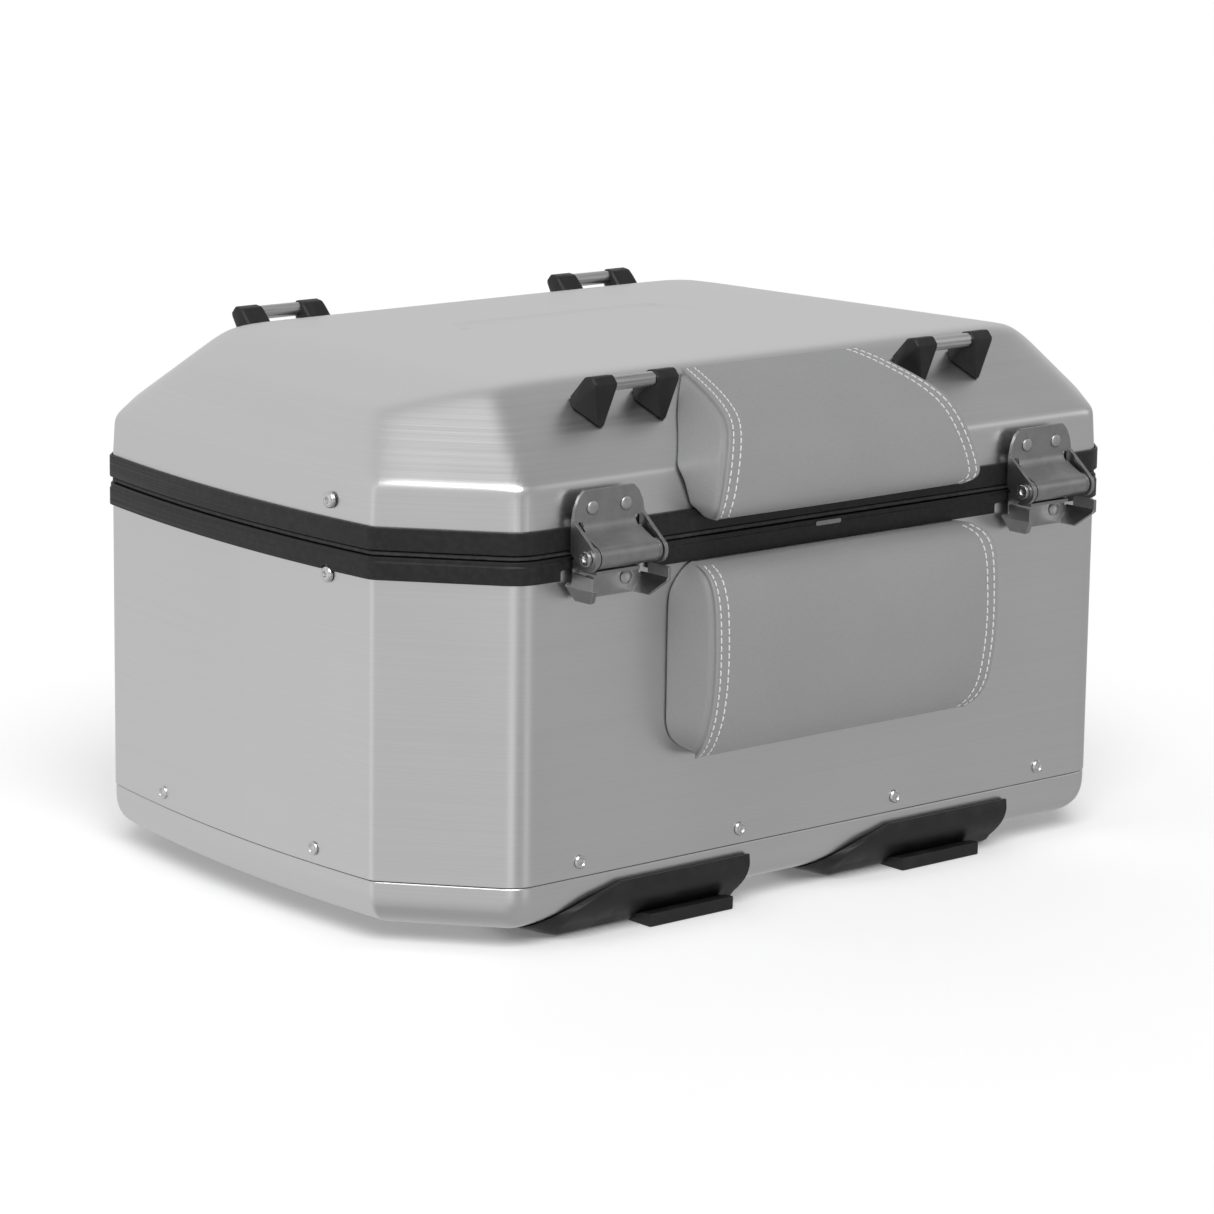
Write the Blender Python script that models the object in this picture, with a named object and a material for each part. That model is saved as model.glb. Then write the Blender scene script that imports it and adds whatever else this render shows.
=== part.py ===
"""Aluminium motorcycle top case: riveted tub, hinged lid, two backrest pads.

Frame: metres, +Z up, origin on the ground under the middle of the case.
The hinges and the backrest are on the -Y side, the lock is on the +Y side.
All lengths below are millimetres and become metres in to_mesh().
"""
import bmesh
import bpy
import numpy as np
from math import atan2, cos, pi, radians, sin, tan
from mathutils import Vector

MM = 0.001
GAP = 0.3                    # clearance between touching pieces

# Plan of the aluminium walls (half widths, and Y of each corner)
FRONT_Y = -190.0
REAR_Y = 210.0
FRONT_HALF = 228.4
FRONT_SHOULDER = (282.4, -124.2)
REAR_SHOULDER = (264.8, 149.9)
REAR_HALF = 205.0
SIDE_BOW = 8.7
SIDE_STEPS = 4               # straight pieces along each bowed side
END_BEND = 10.0              # tangent length of the soft bends beside front and rear
SIDE_BEND = 2.7              # and of the crisper bends beside the bowed sides
BEND_STEPS = 4
SHEET = 1.6

# Levels
WALL_BOTTOM = 38.0
WALL_TOP = 221.0
FLOOR_TOP = 11.5
FLOOR_UNDER = 9.0
TUB_BAND = (210.4, 223.5)
LID_BAND = (227.2, 240.2)
LID_EDGE = 2.5               # lower edge of the lid's wall above its band's
LID_SLACK = 1.0              # clearance inside the lid's wall in its band
LID_DRAFT = 0.06             # inward lean of the lid's walls above its band
BAND_PROUD = 2.0
CREASE_Z = 263.0
TOP_Z = 314.0
SHOULDER_Z = 300.0

# Corners of the lid's top: centre flat, then the shoulders outside it
FLAT_FRONT = (206.0, -133.0)
FLAT_REAR = (183.0, 139.0)
SHOULDER_FRONT = (256.0, -93.0)
SHOULDER_REAR = (230.0, 123.0)

# Hinges
PIVOT_Y = -209.5
PIVOT_Z = 225.3
HINGE_X = 172.3
BARREL_R = 6.6
BARREL_HALF = 21.2
KNUCKLE = (21.8, 23.6)       # |x| of the lower leaf's knuckles on the pin
CHEEK = (24.2, 26.4)         # |x| of the upper leaf's cheeks
EAR = (27.0, 29.0)           # |x| of the lower leaf's ears
PIN_R = 3.0
LEAF = 2.0

# Tie-down loops on the sloped front and rear facets of the lid
LOOP_OUTER = 158.0
LOOP_INNER = 95.0
LOOP_BLOCK = 16.5
LOOP_TOP_FRONT = 317.0
LOOP_TOP_REAR = 318.5
ROD_R = 4.3

# Feet
FOOT_X = 106.5
FOOT_LIP_HALF = 49.5
HOOK_SPAN = (69.0, 133.0)    # inner and outer |x| of the hook under a foot

# Lock on the rear wall
LOCK_HALF = 64.0
LEVER_PIVOT = (216.6, 163.0)
CYLINDER_Z = 140.0
CYLINDER_R = 9.0

# Fasteners: X on the front wall, Y on the sides, and (Y, Z) of the side screws
FRONT_RIVETS = (-184.7, -62.8, 62.8, 184.7)
SIDE_RIVETS = (-74.0, 84.5)
RIVET_Z = 46.8
SCREW_TUB = (-87.0, 207.8)
SCREW_LID = (-89.0, 250.2)

# Cut-outs of the tub's band behind the hinges, by |x|
NOTCH = (138.8, 203.0)
NOTCH_TOP = 216.5


def material(name, colour, roughness, metallic=0.0):
    mat = bpy.data.materials.new(name)
    mat.use_nodes = True
    shader = mat.node_tree.nodes["Principled BSDF"]
    shader.inputs["Base Color"].default_value = (*colour, 1.0)
    shader.inputs["Roughness"].default_value = roughness
    shader.inputs["Metallic"].default_value = metallic
    return mat


def to_mesh(bm, name="piece"):
    bmesh.ops.scale(bm, vec=(MM, MM, MM), verts=bm.verts)
    bmesh.ops.recalc_face_normals(bm, faces=bm.faces)
    mesh = bpy.data.meshes.new(name)
    bm.to_mesh(mesh)
    bm.free()
    return mesh


def combine(solids, cutters=()):
    """Union of the solids with the cutters taken away, as one mesh."""
    made = [bpy.data.objects.new("part", to_mesh(bm)) for bm in [*solids, *cutters]]
    for obj in made:
        bpy.context.collection.objects.link(obj)
    base = made[0]
    for index, other in enumerate(made[1:], start=1):
        cut = base.modifiers.new("Combine", "BOOLEAN")
        cut.operation = "UNION" if index < len(solids) else "DIFFERENCE"
        cut.object = other
    graph = bpy.context.evaluated_depsgraph_get()
    mesh = bpy.data.meshes.new_from_object(base.evaluated_get(graph))
    for obj in made:
        bpy.data.objects.remove(obj)
    return mesh


def add(name, shape, mat, at=(0.0, 0.0, 0.0), parent=None, smooth=30.0):
    """Object from a bmesh (mm) or a mesh (m), placed at (mm) under its pivot."""
    mesh = to_mesh(shape) if isinstance(shape, bmesh.types.BMesh) else shape
    mesh.name = name
    mesh.materials.clear()
    mesh.materials.append(mat)
    mesh.shade_smooth()
    mesh.set_sharp_from_angle(angle=radians(smooth))
    obj = bpy.data.objects.new(name, mesh)
    obj.location = Vector(at) * MM
    if parent:
        obj.parent = parent
        obj.location -= parent.location
    bpy.context.collection.objects.link(obj)
    return obj


def pivot(name, at):
    """Empty on the axis of a joint."""
    empty = bpy.data.objects.new(name, None)
    empty.empty_display_size = 0.02
    empty.location = Vector(at) * MM
    bpy.context.collection.objects.link(empty)
    return empty


def loft(rings, closed=False, strip=False):
    """Skin over rings of equal length; the ends are capped unless closed.

    A strip cap joins the two halves of the ring across a thin, curved section.
    """
    bm = bmesh.new()
    levels = [[bm.verts.new(p) for p in ring] for ring in rings]
    count = len(levels[0])
    pairs = list(zip(levels, levels[1:]))
    if closed:
        pairs.append((levels[-1], levels[0]))
    for low, high in pairs:
        for i in range(count):
            j = (i + 1) % count
            bm.faces.new((low[i], low[j], high[j], high[i]))
    if closed:
        return bm
    for ring in (levels[0], levels[-1]):
        if strip:
            for k in range(count // 2 - 1):
                bm.faces.new((ring[k], ring[k + 1], ring[-2 - k], ring[-1 - k]))
        else:
            bm.faces.new(ring)
    return bm


def prism(profile, start, end, axis="X"):
    """Profile of (y, z), (x, z) or (x, y) points swept along X, Y or Z."""
    def place(a, b, along):
        return {"X": (along, a, b), "Y": (a, along, b), "Z": (a, b, along)}[axis]
    return loft([[place(a, b, along) for a, b in profile] for along in (start, end)])


def circle(centre, radius, steps, start=0.0):
    return [(centre[0] + radius * cos(start + 2 * pi * i / steps),
             centre[1] + radius * sin(start + 2 * pi * i / steps)) for i in range(steps)]


def rod(axis, centre, radius, start, end, steps=16):
    return prism(circle(centre, radius, steps), start, end, axis)


def box(x, y, z):
    return prism([(x[0], y[0]), (x[1], y[0]), (x[1], y[1]), (x[0], y[1])], z[0], z[1], "Z")


def side_x(y):
    """Half width of the bowed side wall at y."""
    (x0, y0), (x1, y1) = FRONT_SHOULDER, REAR_SHOULDER
    t = (y - y0) / (y1 - y0)
    return x0 + (x1 - x0) * t + 4 * SIDE_BOW * t * (1 - t)


def wall_corners():
    """Plan corners of the walls, anticlockwise from the front left."""
    sides = [FRONT_SHOULDER[1] + (REAR_SHOULDER[1] - FRONT_SHOULDER[1]) * i / SIDE_STEPS
             for i in range(SIDE_STEPS + 1)]
    right = [(FRONT_HALF, FRONT_Y)]
    right += [(side_x(y), y) for y in sides]
    right += [(REAR_HALF, REAR_Y)]
    return right + [(-x, y) for x, y in reversed(right)]


def outline(offset):
    """Wall outline moved outward by offset, with its bends rounded."""
    corners = [Vector(p) for p in wall_corners()]
    count = len(corners)
    points = []
    for i, corner in enumerate(corners):
        before = (corner - corners[i - 1]).normalized()
        after = (corners[(i + 1) % count] - corner).normalized()
        turn = before.angle(after)
        outward = Vector((before.y + after.y, -before.x - after.x)).normalized()
        tip = corner + outward * offset / cos(turn / 2)
        if turn < radians(15):
            points.append(tuple(tip))
            continue
        bend = END_BEND if corner.y in (FRONT_Y, REAR_Y) else SIDE_BEND
        tangent = max(0.4, bend + offset * tan(turn / 2))
        radius = tangent / tan(turn / 2)
        centre = tip - outward * radius / cos(turn / 2)
        first = atan2(-before.x, before.y)
        for k in range(BEND_STEPS + 1):
            angle = first + turn * k / BEND_STEPS
            points.append((centre.x + radius * cos(angle), centre.y + radius * sin(angle)))
    return points


def wall_ring(profile):
    """Closed ring whose section is a list of (outward offset, z) points."""
    rings = [[(x, y, z) for x, y in outline(offset)] for offset, z in profile]
    return loft(rings, closed=True)


def dish(outer, inner):
    """Pan from two (offset, z) profiles that run from the rim to the floor."""
    profile = list(reversed(outer)) + inner
    return loft([[(x, y, z) for x, y in outline(offset)] for offset, z in profile])


def rivet(axis, x, y, z, radius, height, out):
    """Domed head on a wall; axis X or Y, out is the sign of the wall's side."""
    steps = 12
    rings = []
    for r, h in ((1.0, 0.0), (0.94, 0.45), (0.72, 0.82), (0.38, 1.0)):
        ring = []
        for a, b in circle((0.0, 0.0), radius * r, steps):
            along = out * (GAP + h * height)
            ring.append((x + along, y + a, z + b) if axis == "X" else (x + a, y + along, z + b))
        rings.append(ring)
    return loft(rings)


def button_screw(x, y, z, radius, height, out):
    """Button head on a side wall, with a hexagon socket."""
    head = rivet("X", x, y, z, radius, height, out)
    socket = rod("X", (y, z), radius * 0.38, x + out * height * 0.45, x + out * (height + 3), 6)
    return combine([head], [socket])


def soft_max(values, softness):
    """Smooth maximum, so that the faces of a solid meet in rounded edges."""
    values = np.stack(values) / softness
    top = values.max(axis=0)
    return softness * (top + np.log(np.exp(values - top).sum(axis=0)))


def plane(a, b, c):
    """Distance in front of the plane through three points, on its upper or outer side."""
    a, b, c = (np.array(p, float) for p in (a, b, c))
    normal = np.cross(b - a, c - a)
    normal /= np.linalg.norm(normal)
    if normal @ (a - (0.0, 0.0, 200.0)) < 0:
        normal = -normal
    return lambda p: p @ normal - normal @ a


def lid_distance(points):
    """How far points lie outside the lid's rounded outer surface."""
    x, y, z = np.abs(points[:, 0]), points[:, 1], points[:, 2]
    p = np.stack([x, y, z], axis=1)
    front, front_side = (FRONT_HALF, FRONT_Y, CREASE_Z), (*FRONT_SHOULDER, CREASE_Z)
    rear, rear_side = (REAR_HALF, REAR_Y, CREASE_Z), (*REAR_SHOULDER, CREASE_Z)
    flat_front, flat_rear = (*FLAT_FRONT, TOP_Z), (*FLAT_REAR, TOP_Z)
    lean = LID_DRAFT * np.maximum(z - LID_BAND[1], 0.0)
    front_wall = soft_max([FRONT_Y - y, plane(front, front_side, (*FRONT_SHOULDER, 0.0))(p)], 2.9)
    rear_wall = soft_max([y - REAR_Y, plane(rear, rear_side, (*REAR_SHOULDER, 0.0))(p)], 2.9)
    walls = soft_max([front_wall, rear_wall, (x - side_x(y)) * 0.997], 0.6) + lean
    t = (y - SHOULDER_FRONT[1]) / (SHOULDER_REAR[1] - SHOULDER_FRONT[1])
    shoulder = SHOULDER_FRONT[0] + (SHOULDER_REAR[0] - SHOULDER_FRONT[0]) * t
    shoulder += 4 * SIDE_BOW * t * (1 - t) * 0.6
    drop, run = SHOULDER_Z - CREASE_Z, side_x(y) - shoulder
    chamfer = ((x - side_x(y)) * drop + (z - CREASE_Z) * run) / np.hypot(drop, run)
    front_slope = soft_max([plane((0, FRONT_Y, CREASE_Z), front, (0, FLAT_FRONT[1], TOP_Z))(p),
                            plane(front, front_side, flat_front)(p)], 2.2)
    rear_slope = soft_max([plane((0, REAR_Y, CREASE_Z), rear, (0, FLAT_REAR[1], TOP_Z))(p),
                           plane(rear, rear_side, flat_rear)(p)], 2.2)
    slopes = soft_max([front_slope, rear_slope, chamfer], 1.6)
    top = soft_max([plane(flat_front, flat_rear, (246.0, 16.0, SHOULDER_Z))(p), z - TOP_Z], 2.4)
    return soft_max([walls, soft_max([slopes, top], 1.8)], 1.0)


def lid_rings(inset):
    """Rings up the lid's surface, moved inward by inset, from its edge to its top."""
    plan = np.array([(x, y - 5.0) for x, y in outline(0.0)])
    plan /= np.hypot(plan[:, 0], plan[:, 1])[:, None]
    flat = np.column_stack([plan, np.zeros(len(plan))])
    levels = [(LID_BAND[0] + LID_EDGE, 0.0), (246.0, 0.0), (258.0, 0.0), (261.0, 0.0)]
    rises = (0.0, 0.6, 1.4, 4.0, 7.0, 9.5, 12.0, 14.5, 17.0, 20.0, 23.0)
    levels += [(CREASE_Z, rise) for rise in rises]
    rings = []
    for z, rise in levels:
        origin = np.array((0.0, 5.0, z))
        ray = flat * cos(radians(rise)) + (0.0, 0.0, sin(radians(rise)))
        near, far = np.zeros(len(ray)), np.full(len(ray), 400.0)
        for _ in range(30):
            reach = (near + far) / 2
            outside = lid_distance(origin + ray * reach[:, None]) > -inset
            near, far = np.where(outside, near, reach), np.where(outside, reach, far)
        rings.append([tuple(p) for p in origin + ray * near[:, None]])
    return rings


def lid_shell():
    """Open-bottomed lid: walls, crease, sloped facets, shoulders and flat top."""
    return loft(lid_rings(0.0)[::-1] + lid_rings(SHEET))


def hinge_upper():
    """Upper leaf: lid plate, web rolled round the pin, and two cheeks."""
    rear = FRONT_Y - 5.0
    right = [(CHEEK[1], 236.5), (CHEEK[1], 243.7), (24.9, 251.5), (22.0, 257.3), (18.3, 260.8)]
    plate = right + [(-x, z) for x, z in reversed(right)]
    solids = [prism(plate, rear - LEAF, rear, "Y")]
    web = [(rear, 236.0), (rear, 242.5), (rear - LEAF, 243.0), (rear - 3.0, 239.8),
           (rear - 5.6, 237.0), (PIVOT_Y + 3.6, PIVOT_Z + 8.8), (PIVOT_Y - 2.0, PIVOT_Z + 6.2),
           (PIVOT_Y, PIVOT_Z + 3.5), (PIVOT_Y + 4.5, PIVOT_Z + 6.0)]
    solids.append(prism(web, -BARREL_HALF, BARREL_HALF))
    solids.append(rod("X", (PIVOT_Y, PIVOT_Z), BARREL_R, -BARREL_HALF, BARREL_HALF, 24))
    lower = [(PIVOT_Y + 7.8 * cos(a), PIVOT_Z + 7.8 * sin(a))
             for a in (radians(150 + 150 * i / 8) for i in range(9))]
    cheek = [(rear, 226.2), (rear, 244.0), (rear - 1.6, 245.0)] + lower
    for side in (-1, 1):
        solids.append(prism(cheek, side * CHEEK[0], side * CHEEK[1]))
    slots = [box(sorted((side * 19.2, side * 22.4)), (rear - 4.6, rear + 2.0), (234.0, 243.4))
             for side in (-1, 1)]
    bore = rod("X", (PIVOT_Y, PIVOT_Z), PIN_R + GAP, -40.0, 40.0, 16)
    return combine(solids, [bore, *slots])


def hinge_lower():
    """Lower leaf: base plate, two knuckles, a stiffening lip and two folded ears."""
    rear = FRONT_Y - 3.6
    front = rear - LEAF
    tip = -216.8
    right = [(20.7, 199.4), (26.3, 208.0), (KNUCKLE[1], 210.0), (KNUCKLE[1], 222.0)]
    base = right + [(-x, z) for x, z in reversed(right)]
    solids = [prism(base, front, rear, "Y")]
    solids.append(box((-17.0, 15.0), (PIVOT_Y + 3.0, rear), (214.4, 216.4)))
    ear = [(front - 3.8, 216.4), (tip, 215.4), (tip, 208.0), (rear, 208.0), (front - 3.8, 210.0)]
    arm = [(rear, 222.0), (rear, 214.0), (front, 214.0), (PIVOT_Y + 4.0, PIVOT_Z - 5.2),
           (PIVOT_Y - 1.0, PIVOT_Z - 4.0), (PIVOT_Y + 1.0, PIVOT_Z + 4.0)]
    for side in (-1, 1):
        knuckle = sorted(side * x for x in KNUCKLE)
        solids.append(rod("X", (PIVOT_Y, PIVOT_Z), 6.4, *knuckle, 24))
        solids.append(prism(arm, *knuckle))
        solids.append(prism(ear, side * EAR[0], side * EAR[1]))
        fold = [(side * x, z) for x, z in ((EAR[0], 209.8), (EAR[1], 208.6), (21.6, 198.6), (19.4, 199.6))]
        solids.append(prism(fold, tip, rear, "Y"))
    taper = prism([(tip - 0.6, 208.4), (tip + 11.4, 197.0), (tip - 9.0, 197.0)], -40.0, 40.0)
    bore = rod("X", (PIVOT_Y, PIVOT_Z), PIN_R + GAP, -40.0, 40.0, 16)
    return combine(solids, [bore, taper])


def hinge_pin():
    """Pin with a button head and a hexagon socket outside each cheek."""
    centre = (PIVOT_Y, PIVOT_Z)
    solids = [rod("X", centre, PIN_R, -28.0, 28.0),
              rod("X", centre, 4.3, -28.8, -26.8), rod("X", centre, 4.3, 26.8, 28.8)]
    sockets = [rod("X", centre, 1.8, -31.0, -27.8, 6), rod("X", centre, 1.8, 27.8, 31.0, 6)]
    return combine(solids, sockets)


def loop_block(wall_y, flat_y, ridge, top, bore_side):
    """End block of a tie-down loop: a ridge over a pointed foot on a sloped facet.

    ridge is the distance from the wall plane to the ridge, top is its height;
    the blind bore for the rod opens on bore_side.
    """
    inward = 1 if flat_y > wall_y else -1
    run = abs(flat_y - wall_y)
    half = LOOP_BLOCK / 2

    def point(x, offset, z=None):
        reach = ridge + offset
        facet = CREASE_Z + (TOP_Z - CREASE_Z) * reach / run + 0.45
        return (x, wall_y + inward * reach, facet if z is None else z)
    points = [point(x, offset, z) for x in (-half, half)
              for offset, z in ((4.5, top - 0.8), (-2.0, top), (-6.0, top - 4.5))]
    points += [point(x, offset) for x, offset in
               ((-half, 17.0), (half, 17.0), (half + 3.5, 11.0), (1.5, -1.5),
                (-1.5, -1.5), (-half - 3.5, 11.0))]
    bm = bmesh.new()
    for corner in points:
        bm.verts.new(corner)
    bmesh.ops.convex_hull(bm, input=bm.verts)
    bmesh.ops.dissolve_limit(bm, angle_limit=radians(1), verts=bm.verts, edges=bm.edges)
    bmesh.ops.bevel(bm, geom=bm.edges[:], offset=0.9, offset_type="OFFSET", segments=1,
                    profile=0.5, affect="EDGES")
    centre = (wall_y + inward * ridge, top - ROD_R - 0.9)
    bore = rod("X", centre, ROD_R + GAP, bore_side * 2.0, bore_side * 20.0)
    return combine([bm], [bore])


def tie_down_loop(name, side, wall_y, flat_y, ridge, top, plastic, steel, parent):
    """Two end blocks and the rod between them, on one side of the lid."""
    outer = side * (LOOP_OUTER - LOOP_BLOCK / 2)
    inner = side * (LOOP_INNER + LOOP_BLOCK / 2)
    inward = 1 if flat_y > wall_y else -1
    for place, x, bore_side in (("outer", outer, -side), ("inner", inner, side)):
        block = loop_block(wall_y, flat_y, ridge, top, bore_side)
        add(f"{name}_{place}_block", block, plastic, (x, 0, 0), parent)
    centre = (wall_y + inward * ridge, top - ROD_R - 0.9)
    ends = sorted((outer - side * 2.4, inner + side * 2.4))
    add(f"{name}_rod", rod("X", centre, ROD_R, *ends), steel, parent=parent)


def foot(x, rear):
    """Shoe that wraps the pan's edge, with a flared toe on one side and a hook.

    Section points are (y, z, reach of the toe). The rear feet are the same
    part turned half round.
    """
    inner = [(-190.0, 31.0, 0.0), (-189.2, 24.0, 24.0), (-186.4, 18.6, 38.0), (-182.0, 14.0, 48.0),
             (-175.4, 10.5, 56.0), (-166.0, 8.7, 58.0), (-135.0, 8.7, 50.0), (-118.0, 8.7, 40.0)]
    outer = [(-193.4, 31.4, 0.0), (-193.8, 24.5, 21.0), (-191.2, 17.8, 32.0), (-187.0, 12.4, 36.0),
             (-180.5, 6.5, 36.0), (-171.0, 0.0, 32.0), (-135.0, 0.0, 28.0), (-118.0, 4.0, 32.0)]
    section = inner + outer[::-1]
    left, right = (near - FOOT_X for near in HOOK_SPAN)
    if x < 0:
        left, right = -right, -left

    def ring(reach):
        toe = max(0.0, -reach)
        return [(reach * FOOT_LIP_HALF - toe * flare, y, z) for y, z, flare in section]
    shoe = loft([ring(reach) for reach in (-1.0, -0.75, -0.4, 1.0)], strip=True)
    hook_profile = [(-192.4, 0.0), (-193.0, 1.0), (-193.0, 7.0), (-192.0, 8.2), (-178.0, 9.0),
                    (-168.0, 6.0), (-168.0, 0.0)]
    hook = prism(hook_profile, left, right)
    for bm in (shoe, hook):
        for vert in bm.verts:
            if rear:
                vert.co.x, vert.co.y = -vert.co.x, FRONT_Y + REAR_Y - vert.co.y
            vert.co.x += x
    return combine([shoe, hook])


def pad(face, back):
    """Pad across the case, from (y, z, half width) points down its face and its back."""
    section = face + back[::-1]
    return loft([[(side * half, y, z) for y, z, half in section] for side in (-1, 1)], strip=True)


def lower_pad():
    face = [(-203.0, 209.6, 109.5), (-215.0, 205.0, 112.0), (-221.0, 197.0, 113.0),
            (-223.8, 184.0, 113.0), (-225.0, 160.0, 113.0), (-223.6, 140.0, 113.0),
            (-221.3, 127.5, 113.0), (-218.5, 116.0, 113.0), (-212.0, 106.0, 112.0),
            (-203.0, 97.5, 109.5)]
    wall = [(209.8, 106.0), (206.0, 112.0), (199.0, 118.5), (190.0, 122.5), (160.0, 123.0),
            (140.0, 123.0), (127.5, 123.0), (116.0, 123.0), (106.0, 115.5), (97.0, 98.0)]
    return pad(face, [(FRONT_Y - 0.6, z, half) for z, half in wall])


def upper_pad():
    face = [(-140.0, 311.2, 70.0), (-157.0, 307.0, 74.5), (-172.0, 302.3, 78.0),
            (-183.0, 298.3, 81.0), (-195.0, 293.0, 84.5), (-204.0, 286.0, 88.5),
            (-210.0, 274.0, 94.0), (-214.0, 259.0, 99.5), (-215.3, 246.0, 104.0),
            (-213.0, 239.5, 104.0), (-205.0, 234.8, 99.0)]
    back = [(-141.0, 308.0, 69.0), (-147.5, 302.4, 77.0), (-160.0, 291.2, 90.0),
            (-172.0, 280.5, 100.0), (-182.0, 271.6, 109.0), (-188.8, 265.4, 115.0),
            (-190.8, 258.0, 112.0), (-190.8, 250.0, 109.0), (-190.8, 243.2, 106.5),
            (-192.7, 241.5, 105.0), (-192.7, 234.6, 97.0)]
    return pad(face, back)


def lock_housing():
    """Moulded housing with a pocket for the lever and a bore for the cylinder."""
    face = REAR_Y + 9.0
    body = [(-56.0, 122.0), (56.0, 122.0), (LOCK_HALF, 134.0), (LOCK_HALF, 205.0), (58.0, 208.5),
            (-58.0, 208.5), (-LOCK_HALF, 205.0), (-LOCK_HALF, 134.0)]
    shell = prism(body, REAR_Y + 0.5, face, "Y")
    pocket = box((-44.0, 44.0), (REAR_Y + 3.3, face + 5.0), (159.0, 212.0))
    bore = rod("Y", (0.0, CYLINDER_Z), CYLINDER_R + GAP, REAR_Y + 3.0, face + 5.0, 24)
    return combine([shell], [pocket, bore])


def latch_lever():
    """Pull lever, hinged at its lower end, with a finger scoop behind its tip."""
    y, z = LEVER_PIVOT
    barrel = circle((y, z), 2.9, 12, pi)[:7]
    profile = barrel + [(y + 4.4, z + 5.0), (y + 8.0, z + 14.0), (y + 8.4, z + 36.0),
                        (y + 5.5, z + 41.0), (y + 1.5, z + 41.0), (y + 3.0, z + 26.0),
                        (y - 0.3, z + 20.0)]
    return prism(profile, -43.0, 43.0)


def lid_strike():
    """Strike plate on the lid band, whose tongue hangs behind the latch lever."""
    back = REAR_Y + BAND_PROUD + 0.4
    front = back + 2.8
    profile = [(back + 1.3, 198.5), (front, 198.5), (front, 256.0), (back, 256.0),
               (back, 210.5), (back + 1.3, 209.2)]
    return prism(profile, -22.0, 22.0)


def lock_cylinder():
    """Key barrel with its slot, on the axis it turns about."""
    barrel = rod("Y", (0.0, 0.0), CYLINDER_R, -6.0, 2.6, 24)
    slot = box((-0.9, 0.9), (0.0, 5.0), (-4.5, 4.5))
    return combine([barrel], [slot])


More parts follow.
